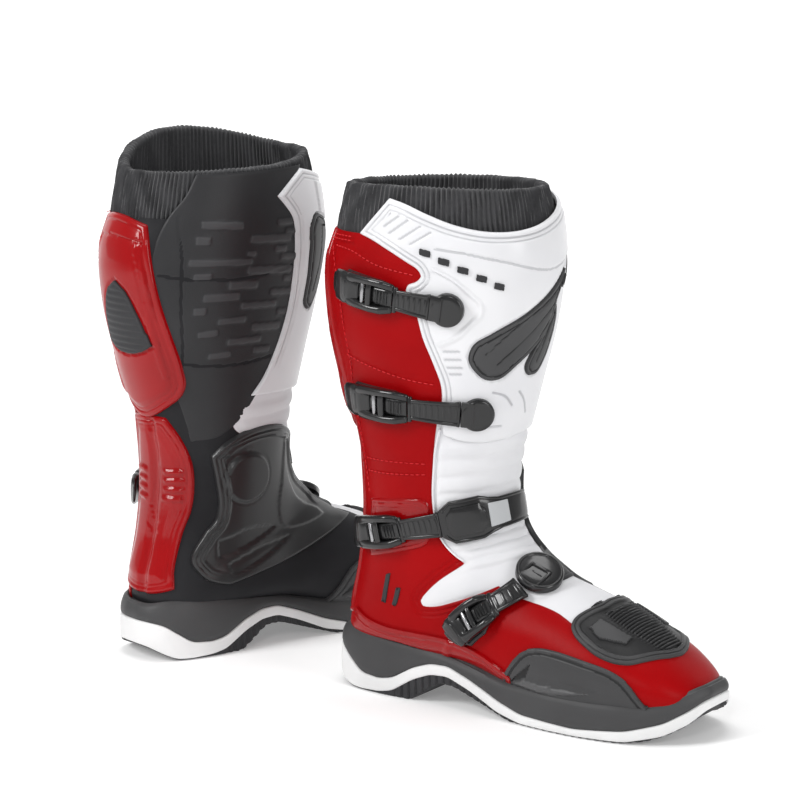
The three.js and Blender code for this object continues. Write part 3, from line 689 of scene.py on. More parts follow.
# shin plate
shin = {"base": 0.6, "top": 3.9, "roll": 2.6, "grooves": ((4.2, 2.0, 0.85), (7.4, 1.8, 0.7)),
        "insertDeep": 1.3}
plateOuter = [(0.08, 96), (0.36, 104.5), (0.64, 113), (0.64, 113), (0.70, 106), (0.86, 94), (1.02, 84),
              (1.12, 78.5), (1.2, 77), (1.28, 79), (1.34, 83.5), (1.42, 84.5), (1.52, 82.5), (1.68, 80),
              (2.16, 75), (2.48, 70), (2.84, 65), (3.2, 64), (3.5, 63.5), (3.66, 62)]
plateTopLine = [(0.08, 96), (0.14, 88), (0.3, 74), (0.45, 60), (0.54, 46), (0.56, 32), (0.51, 15),
                (0.40, -2), (0.26, -20), (0.12, -40), (-0.0, -60)]
plateInner = [(-0.0, -60), (0.16, -69), (0.4, -80), (0.4, -80), (0.56, -75), (0.76, -70), (1.16, -68),
              (1.72, -68), (2.36, -70), (2.92, -76), (3.3, -83), (3.6, -92)]
plateBottom = [(3.66, 62), (3.76, 52), (3.82, 38), (3.8, 20), (3.74, 0), (3.68, -30), (3.64, -60),
               (3.6, -92)]
insertOuter = [(1.1, -18), (1.34, -6), (1.76, 20), (2.06, 41), (2.2, 49), (2.4, 51), (2.62, 46),
               (2.74, 39), (2.74, 32), (2.54, 21), (2.2, 6), (1.9, -3), (1.62, -6), (1.62, -6),
               (1.36, -12)]
insertBar = [(1.66, -6), (1.72, -2), (2.05, 4), (2.38, 12), (2.6, 14), (2.72, 9), (2.7, 1), (2.5, -5),
             (2.2, -8), (1.9, -9)]
insertInner = [(0.84, -40), (0.98, -32), (1.2, -26), (1.6, -32), (2.1, -42), (2.3, -50), (2.2, -56),
               (1.8, -56), (1.3, -56), (0.95, -56), (0.78, -50)]
islandRidge = [(1.1, 70), (1.2, 63), (1.44, 53), (1.62, 47), (1.76, 47), (1.92, 52), (2.08, 57),
               (2.22, 66)]
bandLine = [(0.80, 70), (0.84, 60), (0.92, 48), (1.0, 36), (1.1, 22), (1.16, 6), (1.1, -10), (1.0, -24),
            (0.86, -44)]
tabSlashes = [[(0.40, 98), (0.2, 90)], [(0.5, 97), (0.24, 84.5)], [(0.6, 94), (0.33, 81)],
              [(0.68, 88), (0.45, 76)],
              [(0.74, 82), (0.56, 72)]]
sideNotches = [[(2.3, 64), (2.3, 56)], [(2.42, 63), (2.42, 55)], [(2.54, 62), (2.54, 54)],
               [(2.64, 60.5), (2.64, 54)]]
lowerCurves = [[(3.1, 60), (3.36, 50), (3.5, 38), (3.52, 24)], [(3.18, 18), (3.0, 26), (2.94, 34)],
               [(3.34, 2), (3.1, 8), (2.96, 14)]]


def shinShape(place, v, d, edge):
    h = plateHeight(shin, edge)
    trim = ease(-v, -3.3, -3.0)
    grooved = np.where((v < 0.75) | (d > 40) | (d < -45), 1, 0)
    for at, width, deep in shin["grooves"]:
        h -= bead(np.abs(edge - at), width, deep) * grooved * trim
    band = lineAway(place, bandLine, 14)
    above = within(v, d, onLine(bandLine
                                + [bandLine[-1], (-0.5, -50), (-0.5, -50), (-0.5, 80), (-0.5, 80),
                                   bandLine[0]], 4))
    h += np.where(above, 1.1 * ease(band, 0, 1.8), 0) * ease(edge, 6, 9) * ease(-d, -74, -62)
    h -= bead(band, 1.4, 0.25) * ease(edge, 6, 9)
    h += bead(lineAway(place, islandRidge), 3.4, 1.1) * ease(edge, 5, 8)
    inside = deepIn(place, v, d, islandRidge + [(2.22, 72), (1.1, 76)], 8)
    h -= 0.7 * ease(inside, 0.5, 2.5) * ease(edge, 5, 8)
    for line in tabSlashes:
        h -= bead(lineAway(place, line), 2.6, 1.0) * ease(edge, 8.4, 9.4)
    for line in sideNotches:
        h -= bead(lineAway(place, line), 2.6, 0.8)
    for line in lowerCurves:
        h -= bead(lineAway(place, line), 2.2, 0.9)
    for outline in (insertOuter, insertBar, insertInner):
        deep = deepIn(place, v, d, outline, 6)
        h -= shin["insertDeep"] * ease(deep, -0.9, 0.3)
    # the grooves, slashes and band line are greyed in colour: painted shade in the hollows
    hollowShade = bead(np.abs(edge - 4.2), 2.2, 0.8) * grooved * trim
    second = 0.66 * bead(np.abs(edge - 7.4), 2.0, 1) * np.where((v < 0.75) | (d > 40), 1, 0) * trim
    hollowShade = np.maximum(hollowShade, second)
    for line in tabSlashes + lowerCurves + sideNotches:
        hollowShade = np.maximum(hollowShade, bead(lineAway(place, line), 3.0, 0.8) * ease(edge, 8.4, 9.4))
    hollowShade = np.maximum(hollowShade, 0.66 * bead(band, 1.8, 1) * ease(edge, 6, 9))
    return h, {"hollowShade": hollowShade - 0.5}


# white plastic greyed in its grooves: painted shade
zonedFinish("shin_plastic", (("hollowShade", (176, 176, 180), (188, 188, 191)),),
            (216, 216, 219), (226, 226, 228), 0.34, grain=1600, depth=0.05, coat=0.25, coatRough=0.15)


piece = patch("shin", plateTopLine, plateBottom, plateOuter, plateInner, shinShape, spacing=1.16,
              wall=2.4)
fit(piece, "shin_plastic", 50, "shin_plate", "shaft", "white_plastic", ("shin_plate",))


def insertRidges(place, v, d, edge, h):
    # the edge groove and the lines are darkened in colour: painted shade in the grooves
    hollowShade = bead(np.abs(edge - 2.9), 1.5, 1)
    for line in insertLines:
        hollowShade = np.maximum(hollowShade, bead(lineAway(place, line), 1.7, 1) * ease(edge, 2.5, 3.5))
    return h - 0.8 * hollowShade + 0.5 * ease(edge, 3.5, 5.5), {"hollowShade": hollowShade - 0.55}


insertLines = [[(1.3, -10), (1.72, 14), (2.1, 33), (2.34, 42)],
               [(1.56, -7), (1.96, 12), (2.3, 27), (2.5, 35)],
               [(1.0, -44), (1.5, -44), (2.0, -50)], [(1.8, -5), (2.2, 2), (2.5, 6)]]
# dark rubber, darker in its grooves: painted shade
zonedFinish("insert_rubber", (("hollowShade", (28, 28, 29), (34, 34, 35)),),
            (62, 62, 63), (70, 70, 71), 0.45, grain=1400, depth=0.08)
inserts = [leaf("insert", insertOuter, 3.0, 5.1, 1.2, insertRidges, spacing=0.85),
           leaf("insert", insertBar, 3.0, 5.0, 1.1, insertRidges, spacing=0.85),
           leaf("insert", insertInner, 3.0, 5.0, 1.2, insertRidges, spacing=0.85)]
fit(joined(inserts, "insert"), "insert_rubber", 50, "shin_insert", "shaft", "dark_rubber")

# plain dashes along the band
dashes = []
for degrees in (74.5, 65.5, 56.5, 47.5, 38.5):
    at = 0.84 + (76 - degrees) * 0.0135
    corners = [(at - 0.085, degrees + 3.0), (at - 0.045, degrees - 3.4), (at + 0.085, degrees - 3.0),
               (at + 0.045, degrees + 3.4)]
    dashes.append(leaf("dash", [c for c in corners for _ in (0, 1)], 3.4, 5.6, 0.7, spacing=0.7,
                       wall=1.2))
fit(joined(dashes, "dashes"), "black_rubber", 50, "band_dashes", "shaft", "black_rubber")
print("shin plate done")

# inner grip panel
grip = {"lift": 1.0, "bar": 0.9, "corner": 1.2}
gripBars = [(0.82, -72, 26, 5), (0.78, -112, 34, 6), (0.98, -70, 16, 4), (1.06, -84, 40, 6),
            (1.0, -122, 12, 6), (1.24, -78, 12, 5), (1.26, -96, 8, 4), (1.36, -112, 52, 5),
            (1.38, -72, 18, 5), (1.55, -84, 44, 6), (1.56, -122, 14, 5), (1.72, -72, 9, 5),
            (1.74, -100, 26, 6), (1.92, -76, 22, 5), (1.9, -112, 30, 6), (2.08, -90, 34, 5),
            (2.1, -124, 10, 6), (2.24, -74, 10, 5), (2.28, -106, 24, 5), (2.44, -84, 28, 6),
            (2.46, -120, 16, 5), (2.62, -98, 30, 5), (2.8, -86, 16, 5), (2.82, -114, 18, 5)]
gripSeams = [[(1.5, -66), (1.62, -90), (1.6, -126), (1.52, -146)],
             [(2.94, -78), (3.0, -100), (2.96, -130), (2.9, -143)],
             [(0.62, -136), (1.2, -133), (2.0, -134), (2.9, -137), (3.6, -146)]]


def gripShape(place, v, d, edge):
    h = 0.1 + (grip["lift"] - 0.1) * rolled(edge, 1.6)
    bars = np.zeros_like(h)
    for at, degrees, length, tall in gripBars:
        centre = skin(at, degrees)
        aside = unit(skin(at, degrees + 1) - skin(at, degrees - 1))
        down = unit(skin(at + 0.02, degrees) - skin(at - 0.02, degrees))
        away = place - centre
        x, y = np.abs(away @ aside + 0.12 * (away @ down)) - length / 2, np.abs(away @ down) - tall / 2
        corner = grip["corner"]
        deep = corner - np.hypot(np.maximum(x + corner, 0), np.maximum(y + corner, 0))
        deep -= np.minimum(np.maximum(x, y) + corner, 0)
        near = np.linalg.norm(away, axis=-1) < length
        bars = np.maximum(bars, np.where(near, ease(deep, -0.6, 0.8), 0) * ease(edge, 2, 4.5))
    h += grip["bar"] * bars
    for line in gripSeams:
        h -= bead(lineAway(place, line), 2.0, 0.6)
    return h, {"raised": bars - 0.5}


zonedFinish("grip_leather", (("raised", (56, 56, 58), (66, 66, 68)),),
            (35, 35, 37), (44, 44, 46), 0.45, grain=1200, depth=0.2)
piece = patch("grip", [(-0.05, -58), (-0.03, -90), (-0.03, -128)],
              [(3.95, -96), (4.3, -116), (4.34, -138)],
              [(-0.05, -58), (0.4, -70), (1.2, -64), (2.4, -66), (3.3, -80), (3.95, -96)],
              [(-0.03, -128), (0.3, -133), (0.6, -141), (1.2, -150), (2.4, -150), (3.4, -146),
               (3.9, -142), (4.34, -138)],
              gripShape, spacing=1.45, wall=1.2)
fit(piece, "grip_leather", 50, "grip_panel", "shaft", "black_leather")
print("grip panel done")

# calf guard
calf = {"base": 0.8, "top": 3.9, "roll": 3.0, "bulge": 3.8, "hemIn": 3.8}
ventOutline = [(1.6, 182), (1.74, 173), (2.1, 164), (2.62, 157), (2.62, 157), (2.74, 168), (2.78, 182),
               (2.74, 196), (2.62, 207), (2.62, 207), (2.1, 200), (1.74, 191)]


def calfShape(place, v, d, edge):
    h = plateHeight(calf, edge)
    h += calf["bulge"] * ease(edge, 5, 22) * ease(v, 0.9, 1.5) - calf["hemIn"] * (1 - ease(v, 0.62, 1.15))
    h -= bead(np.abs(edge - 5.5), 2.0, 0.7) + bead(np.abs(edge - 9.5), 1.6, 0.4) * (v > 0.95)
    h += bead(lineAway(place, [(1.0, 158), (1.5, 152), (2.2, 151), (2.9, 150), (3.5, 158)], 8), 5, 0.9)
    h += bead(lineAway(place, [(1.1, 200), (1.7, 206), (2.4, 208), (3.1, 212)], 8), 5, 0.9)
    h -= 1.4 * ease(deepIn(place, v, d, ventOutline, 6), -1.2, 0.4)
    h -= bead(lineAway(place, [(0.98, 156), (0.94, 180), (1.02, 204)], 6), 2.0, 0.8)
    return h


piece = patch("calf", [(0.64, 154), (0.6, 168), (0.62, 184), (0.74, 205)],
              [(3.84, 163), (3.92, 172), (3.92, 186), (3.82, 198)],
              [(0.64, 154), (0.95, 150), (1.3, 147), (2.0, 144), (2.6, 141), (3.2, 139.5), (3.45, 142),
               (3.66, 150), (3.84, 163)],
              [(0.74, 205), (0.98, 208), (1.28, 210), (1.88, 214), (2.48, 219), (3.0, 223), (3.3, 223.5),
               (3.5, 219), (3.66, 210),
               (3.82, 198)], calfShape, spacing=1.15, wall=2.2)
fit(piece, "red_plastic", 50, "calf_guard", "shaft", "red_plastic", ("calf_guard",))
vent = leaf("vent", ventOutline, 3.2, 6.4, 1.4,
            lambda p, v, d, e, h: (h + 0.5 * np.sin(v * 62) * ease(e, 2.5, 3.5), None), spacing=0.85)
fit(vent, "black_rubber", 50, "calf_vent", "shaft", "black_rubber")

# Achilles guard
heelGuard = {"base": 0.6, "top": 3.9, "roll": 2.6}
heelRibs = [(4.86, 206), (5.02, 206.5), (5.18, 206.5), (5.34, 206)]


def achillesShape(place, v, d, edge):
    h = plateHeight(heelGuard, edge)
    h += 2.0 * ease(edge, 9, 20) - bead(np.abs(edge - 5.0), 2.0, 0.7) - bead(np.abs(edge - 8.0), 1.6, 0.5)
    valley = lineAway(place, [(3.9, 186), (4.6, 189), (5.4, 189), (6.4, 187), (7.4, 186)], 12)
    h -= 2.4 * (1 - ease(valley, 0, 6.5))
    for at, degrees in heelRibs:
        for low, high in ((degrees - 5, degrees + 8), (368 - degrees, 381 - degrees)):
            h += bead(lineAway(place, [(at, low), (at + 0.01, high)], 6), 4.4, 1.5)
    return h


piece = patch("achilles", [(3.92, 160), (3.88, 180), (3.9, 203)], [(7.3, 141), (7.42, 180), (7.34, 219)],
              [(3.92, 160), (4.3, 154), (4.8, 149), (5.5, 149), (6.2, 146.5), (6.8, 143.5), (7.3, 141)],
              [(3.9, 203), (4.24, 214), (4.72, 223), (5.16, 225), (5.56, 224), (5.96, 219), (6.56, 217),
               (7.34, 219)],
              achillesShape, spacing=1.25, wall=2.0)
fit(piece, "red_plastic", 50, "achilles_guard", "ankle", "red_plastic", ("achilles_guard",))
print("rear guards done")

# raised base behind the ankle buckle
piece = patch("base", [(4.86, 126), (4.84, 104), (4.84, 80)], [(5.94, 126), (5.94, 104), (5.92, 82)],
              [(4.86, 126), (5.4, 128), (5.94, 126)],
              [(4.84, 80), (4.92, 74), (5.1, 72), (5.4, 72), (5.7, 73.5), (5.86, 77), (5.92, 82)],
              lambda p, v, d, e: 1.5 + 2.0 * rolled(e, 2.4) - bead(np.abs(e - 4.2), 2.0, 0.6)
              - 0.6 * ease(e, 5, 7), spacing=1.3)
fit(piece, "red_plastic", 50, "buckle_base", "shaft", "red_plastic")
print("buckle bases done")

# inner ankle guard
ankleGuard = {"base": 0.9, "top": 5.0, "roll": 2.4, "disc": (5.2, -92), "discRadius": 21.0}


def ankleGuardShape(place, v, d, edge):
    h = plateHeight(ankleGuard, edge)
    upperPart = ease(-v, -7.6, -7.0)
    h -= 2.9 * ease(v, 7.5, 8.9) * ease(d, -60, -40)
    h -= (bead(np.abs(edge - 4.4), 2.2, 0.9) + bead(np.abs(edge - 7.6), 1.8, 0.7)) * upperPart
    h -= 1.5 * ease(edge, 9, 11) * upperPart
    away = np.linalg.norm(place - skin(*ankleGuard["disc"]), axis=-1)
    h += 2.6 * ease(-away, -ankleGuard["discRadius"], -ankleGuard["discRadius"] + 3)
    h -= 0.5 * bead(np.abs(away - ankleGuard["discRadius"] - 1.0), 2.0, 1)
    tongue = deepIn(place, v, d, [(4.5, -52), (4.9, -46), (5.8, -44), (6.6, -42), (7.4, -36), (7.9, -40),
                                  (7.3, -66), (6.2, -66), (5.6, -58)], 8)
    h += 1.2 * ease(tongue, -0.5, 2.5)
    for outline in ([(6.34, -116), (6.5, -84), (6.9, -72), (7.0, -84), (6.96, -112)],
                    [(7.16, -110), (7.2, -84), (7.5, -68), (7.8, -84), (7.9, -104)]):
        h -= 1.6 * ease(deepIn(place, v, d, outline, 8), -0.6, 2.2)
    return h


piece = patch("ankle", [(4.62, -123), (4.44, -114), (4.22, -92), (4.2, -76), (4.42, -46), (4.6, -34)],
              [(8.1, -113), (8.5, -90), (8.75, -60), (8.98, -26)],
              [(4.62, -123), (5.1, -119), (5.68, -116), (5.9, -118), (6.04, -124), (6.04, -124),
               (6.5, -132), (7.1, -126), (7.7, -118), (8.1, -113)],
              [(4.6, -34), (5.2, -30), (5.9, -25), (6.3, -20), (6.76, -17), (6.76, -17), (7.3, -22),
               (8.0, -22), (8.98, -26)],
              ankleGuardShape, spacing=1.35, wall=2.0)
fit(piece, "black_plastic", 50, "ankle_guard", "ankle", "black_plastic", ("ankle_guard",))

# toe pad
toePad = {"base": 0.5, "top": 3.9, "roll": 1.8, "pitch": 2.3}
padWindow = [(10.12, 30), (10.12, 30), (10.26, 43.5), (10.26, 43.5), (10.66, 46.5), (10.66, 46.5),
             (11.18, 36), (11.18, 36), (11.1, 26), (11.1, 26)]
padComb = [(10.02, 25), (10.02, 25), (10.9, 23.5), (11.8, 17), (11.8, 17), (11.86, 0), (11.8, -15),
           (11.8, -15), (10.9, -21.5), (10.02, -23), (10.02, -23)]


def toePadShape(place, v, d, edge):
    h = plateHeight(toePad, edge)
    line = bead(np.abs(edge - 3.4), 1.4, 1)
    floorOf = ease(edge, 6.2, 7.2)
    h -= 0.6 * line + 1.7 * floorOf
    ribs = 0.5 + 0.5 * np.cos(2 * np.pi * place[..., 0] / toePad["pitch"])
    comb = ease(deepIn(place, v, d, padComb, 4), -0.3, 0.7)
    h += (0.3 + 2.0 * ribs) * comb
    window = deepIn(place, v, d, padWindow, 4)
    mirror = deepIn(place, v, d, [(a, 2 - b) for a, b in padWindow], 4)
    raised = ease(window, -0.2, 0.9) + ease(mirror, -0.2, 0.9)
    h += 1.9 * raised
    # the groove, the sunk floor and the valleys between the ribs are darkened in colour: painted shade
    dark = np.maximum(line, floorOf * (1 - np.clip(raised + comb, 0, 1)))
    return h, {"hollowShade": np.maximum(dark, comb * (1 - ribs) * 0.9) - 0.5}


# black rubber, darker in its recesses: painted shade
zonedFinish("toe_rubber", (("hollowShade", (26, 26, 27), (33, 33, 34)),),
            (54, 54, 55), (62, 62, 63), 0.48, grain=1300, depth=0.08)
piece = patch("toepad", [(9.66, 16), (9.6, 4), (9.62, -8), (9.68, -18)],
              [(12.04, 17), (12.12, 0), (12.04, -15)],
              [(9.66, 16), (9.68, 28), (9.78, 40), (9.98, 49), (10.3, 55.5), (10.7, 58), (11.1, 58.5),
               (11.4, 56), (11.62, 50),
               (11.76, 40), (11.9, 28), (12.04, 17)],
              [(9.68, -18), (9.72, -28), (9.82, -38), (10.02, -45), (10.34, -51), (10.7, -53),
               (11.1, -53), (11.4, -50.5),
               (11.62, -45), (11.76, -36), (11.9, -26), (12.04, -15)],
              toePadShape, spacing=0.8, wall=1.8)
fit(piece, "toe_rubber", 40, "toe_pad", "foot", "black_rubber", ("toe_pad",))
print("toe pad done")


# places on the skin from the side: x and z of the foot
lookV, lookD = np.meshgrid(np.linspace(5.4, 13.9, 426), np.linspace(20, 178, 317), indexing="ij")
lookOuter, lookInner = skin(lookV, lookD), skin(lookV, -lookD)


def fromSide(points, outer=True, settle=0):
    table = lookOuter if outer else lookInner
    found = []
    for x, z in points:
        away = (table[..., 0] - x) ** 2 + (table[..., 2] - z) ** 2
        k = np.unravel_index(np.argmin(away), away.shape)
        spot = np.array([lookV[k], lookD[k] if outer else -lookD[k]])
        for _ in range(4):
            here = skin(*spot)[[0, 2]]
            slope = np.stack([(skin(spot[0] + 0.01, spot[1])[[0, 2]] - here) / 0.01,
                              (skin(spot[0], spot[1] + 0.5)[[0, 2]] - here) / 0.5], -1)
            step = np.linalg.lstsq(slope, np.array([x, z]) - here, rcond=0.05)[0]
            spot = spot + np.clip(step, (-0.03, -1.5), (0.03, 1.5))
        found.append(tuple(spot))
    for _ in range(settle):
        inner = [tuple((np.array(a) + 2 * np.array(b) + c) / 4)
                 for a, b, c in zip(found, found[1:], found[2:])]
        found = found[:1] + inner + found[-1:]
    return found


# glossy sill above the midsole, outer heel to the instep buckle
sill = {"base": 1.4, "top": 4.4, "roll": 1.6, "grooveAt": 5.4, "groove": 1.1, "step": 0.9, "rib": 0.9,
        "spacing": 1.05, "tucked": 2.0}
sillTop = fromSide([(-62, 65), (-48, 62), (-34, 59), (-20, 57), (-6, 56), (8, 56), (20, 57), (32, 58),
                    (44, 55), (56, 49),
                    (70, 42), (84, 36)], settle=3)
sillBottom = fromSide([(-58, 43), (-30, 41), (0, 38), (24, 34), (46, 29), (66, 24), (84, 24)])


def sillShape(place, v, d, edge):
    x, z = place[..., 0], place[..., 2]
    topAway = lineAway(place, sillTop, 14)
    rand = np.interp(x, [-70, -55, -9, 10, 28, 74, 90], [48, 48, 44, 42, 39.5, 29, 28])
    h = plateHeight(sill, topAway)
    h -= (bead(np.abs(topAway - sill["grooveAt"]), 3.0, sill["groove"])
          + sill["step"] * ease(topAway, 5.4, 7.6))
    h += bead(np.abs(x - 0.8 * (z - 40) - 20), 9, sill["rib"]) * ease(topAway, 1.5, 3)
    return (h + sill["tucked"]) * ease(z - rand, -1.8, 0.8) - sill["tucked"]


piece = patch("sill", sillTop, sillBottom, [sillTop[0], sillBottom[0]], [sillTop[-1], sillBottom[-1]],
              sillShape, spacing=sill["spacing"], wall=2.0)
fit(piece, "red_plastic", 50, "heel_sill", "foot", "red_plastic", ("ankle_cup",))

# forefoot side guards
guardTop = [(70, 28), (76, 34), (81, 42), (86, 50), (92, 57), (98, 60.5), (106, 62), (118, 61.5),
            (132, 60), (146, 58), (158, 55), (168, 53), (178, 48.5), (185, 43), (189, 36), (192, 31)]
guardLow = [(70, 23), (100, 21), (130, 21), (160, 22), (192, 25)]
# dark rubber with a lighter raised blade, a painted highlight, and darker groove, hollow and slot, painted
# shade
zonedFinish("guard_rubber",
            (("raised", (74, 74, 75), (84, 84, 85)),
             ("hollowShade", (24, 24, 25), (30, 30, 31))),
            (56, 56, 57), (64, 64, 65), 0.42, grain=1400, depth=0.06)
for outer in (True, False):
    top, low = fromSide(guardTop, outer, 2), fromSide(guardLow, outer, 1)
    hollow = fromSide([(80, 30.5), (80, 30.5), (105, 52), (105, 52), (99, 37), (99, 37)], outer)
    blade = fromSide([(82, 32), (82, 32), (96, 37), (96, 37), (126, 35), (164, 35), (164, 35),
                      (122, 28.5)], outer)
    slot = fromSide([(97, 39.5), (97, 39.5), (128, 38), (156, 36.5), (156, 36.5), (126, 36)], outer)

    def guardShape(place, v, d, edge):
        topAway = lineAway(place, top, 14)
        groove = bead(np.abs(topAway - 4.6), 2.0, 1)
        h = 0.3 + 3.7 * rolled(topAway, 2.2) - 1.1 * groove - 0.6 * ease(topAway, 4.6, 6.4)
        hollowShade = np.maximum(ease(deepIn(place, v, d, hollow, 8), -0.2, 1.6),
                          ease(deepIn(place, v, d, slot, 8), -0.4, 1.0))
        # the raised blade is coloured lighter as a painted highlight; the groove, hollow and slot are
        # coloured darker as painted shade
        lit = ease(deepIn(place, v, d, blade, 8), -0.4, 2.4)
        h += 1.6 * lit - 1.4 * hollowShade
        return h, {"hollowShade": np.maximum(groove, hollowShade) - 0.5, "raised": lit * (1 - hollowShade) - 0.4}

    piece = patch("guard", top, low, [top[0], low[0]], [top[-1], low[-1]], guardShape, spacing=0.85,
                  wall=2.0)
    fit(piece, "guard_rubber", 50, "side_guard_outer" if outer else "side_guard_inner", "foot",
        "dark_rubber")
bars = [leaf("mark", fromSide([c for c in corners for _ in (0, 1)]), 1.0, 2.6, 0.8, spacing=0.7, wall=1.2)
        for corners in ([(-37, 73), (-31, 97), (-25, 99), (-31, 72)],
                        [(-27, 72), (-22, 88), (-16, 88), (-21, 71)])]
fit(joined(bars, "mark"), "black_rubber", 50, "heel_mark", "ankle", "black_rubber")
print("foot guards done")

# sole
soleOutline = np.array([
    [-92, 9, 9], [-88, 21, 21], [-80, 31, 30], [-66, 38, 37], [-45, 43, 41], [-10, 45, 42], [30, 47, 41],
    [62, 50, 43], [90, 55, 48], [125, 59, 53], [155, 59, 54], [180, 55, 51], [200, 46, 44], [214, 35, 35],
    [223, 24, 25], [229, 13, 14]], float)
soleLines = {
    "ground": [(-92, 13), (-80, 5), (-70, 0), (-10, 0), (4, 10), (14, 17), (28, 17), (46, 11), (64, 5),
               (80, 0), (176, 0),
               (195, 2.5), (210, 8), (222, 16), (229, 26)],
    "whiteLow": [(-92, 13.3), (-80, 5.6), (-70, 1.4), (-58, 1.2), (-40, 2.2), (-27, 4.8), (-8, 16.5),
                 (8, 23), (24, 24),
                 (44, 17), (70, 5.4), (92, 1.2), (139, 0.9), (180, 1.6), (205, 6.9), (220, 15.3),
                 (229, 26.2)],
    "whiteHigh": [(-92, 32), (-80, 29), (-70, 22), (-58, 14), (-40, 12.5), (-27, 15), (-8, 26), (8, 31.5),
                  (24, 32), (44, 25),
                  (70, 14), (92, 8), (139, 6), (180, 9.5), (205, 16), (220, 25), (229, 33)],
    "rand": [(-92, 45), (-80, 48), (-55, 48), (-9, 44), (10, 42), (28, 39.5), (74, 29), (150, 28),
             (195, 29), (207, 32),
             (218, 37), (229, 42)]}


def softLine(points, x):
    p = np.array(points, float)
    offsets = np.linspace(-4, 4, 9)
    return np.mean([np.interp(np.clip(x + o, p[0, 0], p[-1, 0]), p[:, 0], p[:, 1]) for o in offsets],
                   axis=0)


def ringPlan():
    # one closed ring of the sole seen from above, evenly spaced, with its outward direction
    fineX = np.concatenate([-92 + 14 * (1 - np.cos(np.linspace(0, np.pi / 2, 16))),
                            np.linspace(-78, 214, 240)[1:-1],
                            214 + 15 * np.sin(np.linspace(0, np.pi / 2, 16))])

    def half(column):
        line = onLine(soleOutline[:, [0, column]] / perStep, 1.0) * perStep
        return np.interp(fineX, line[:, 0], line[:, 1])

    outerSide = np.stack([fineX, half(1)], -1)
    innerSide = np.stack([fineX, -half(2)], -1)[::-1]
    ring = np.vstack([outerSide, innerSide])
    ring = np.vstack([ring, ring[:1]])
    t = np.concatenate([[0], np.cumsum(np.linalg.norm(np.diff(ring, axis=0), axis=1))])
    at = np.linspace(0, t[-1], int(t[-1] / 1.6))
    ring = np.stack([np.interp(at, t, ring[:, i]) for i in range(2)], -1)
    for _ in range(3):
        soft = (np.roll(ring[:-1], 1, 0) + 2 * ring[:-1] + np.roll(ring[:-1], -1, 0)) / 4
        ring = np.vstack([soft, soft[:1]])
    tangent = np.roll(ring[:-1], -1, 0) - np.roll(ring[:-1], 1, 0)
    tangent = unit(np.vstack([tangent, tangent[:1]]))
    outward = np.stack([tangent[:, 1], -tangent[:, 0]], -1)
    if (outward * ring).sum(1).mean() < 0:
        outward = -outward
    return ring, outward


planRing, planOut = ringPlan()


def solePiece(name, levels):
    # levels: (out, line name, up), lowest first, closed by rows drawn to the middle line
    lines = []
    for out, line, up in levels:
        outNow = out if np.ndim(out) else np.full(len(planRing), float(out))
        xy = planRing + planOut * outNow[:, None]
        z = softLine(soleLines[line], np.clip(planRing[:, 0], -92, 229)) + up
        lines.append(np.column_stack([xy, z]))
    middle, half = np.array([1, 0, 1]), np.array([1, 0.5, 1])
    lines = [lines[0] * middle, lines[0] * half] + lines + [lines[-1] * half, lines[-1] * middle]
    return gridPiece(name, np.array(lines), closed=True)


treadTeeth = 1.3 * (np.mod(planRing[:, 0], 6.4) < 2.6) * ease(planRing[:, 0], -30, -20)
piece = solePiece("tread", [(-6, "ground", 0.3), (-2.6 - treadTeeth, "ground", 0.3),
                            (-1.6 - treadTeeth, "ground", 1.2), (-1.2 - treadTeeth, "whiteLow", -0.4),
                            (-1.2 - treadTeeth, "whiteLow", 0.4), (-4, "whiteLow", 0.8)])
fit(piece, "black_rubber", 30, "tread", "foot", "black_rubber")
piece = solePiece("band", [(-5, "whiteLow", 0.9), (-0.9, "whiteLow", 0.3), (-0.2, "whiteLow", 0.9),
                           (0, "whiteLow", 1.8), (0, "whiteHigh", -1.5), (-0.25, "whiteHigh", -0.6),
                           (-1.0, "whiteHigh", 0), (-6, "whiteHigh", 0.2)])
fit(piece, "white_rubber", 40, "outsole_band", "foot", "white_rubber", ("outsole",))


def midsoleLevels():
    x = planRing[:, 0]
    tall = softLine(soleLines["rand"], x) - softLine(soleLines["whiteHigh"], x)
    levels = [(-5, "whiteHigh", 0.2), (-1.6, "whiteHigh", 0.3), (-0.9, "whiteHigh", 1.2)]
    for share in (0.15, 0.3, 0.45, 0.6, 0.75, 0.88):
        lip = 0.5 * math.sin(math.pi * share)
        levels.append((-0.6 + lip - 3.4 * share ** 2, "whiteHigh", 1.2 + share * (tall - 1.2)))
    levels += [(-4.6, "rand", -0.9), (-5.2, "rand", -0.1), (-6.2, "rand", 0.2), (-7.6, "rand", -0.4),
               (-9.5, "rand", -2.5)]
    return levels


piece = solePiece("midsole", midsoleLevels())
fit(piece, "dark_rubber", 40, "midsole", "foot", "dark_rubber", ("midsole",))
print("sole done")

# buckles
buckles = [
    {"from": (1.68, 63), "to": (1.36, 126), "leverAt": 0.40, "rides": "shaft", "cap": 12.5},
    {"from": (3.28, 42), "to": (3.08, 132), "leverAt": 0.44, "rides": "shaft", "cap": 12.5},
    {"from": (5.4, 44), "to": (5.48, 146), "leverAt": 0.48, "rides": "shaft", "plateEnds": (-0.6, 0.2),
     "end": 0.84},
    {"from": (7.72, 21), "to": (9.35, 106), "leverAt": 0.47, "rides": "foot", "cap": 18.0}]
hardware = {"base": 5.4, "strap": 20.0, "thick": 3.0, "lever": 26.0, "gap": 0.6, "receiver": 30.0}


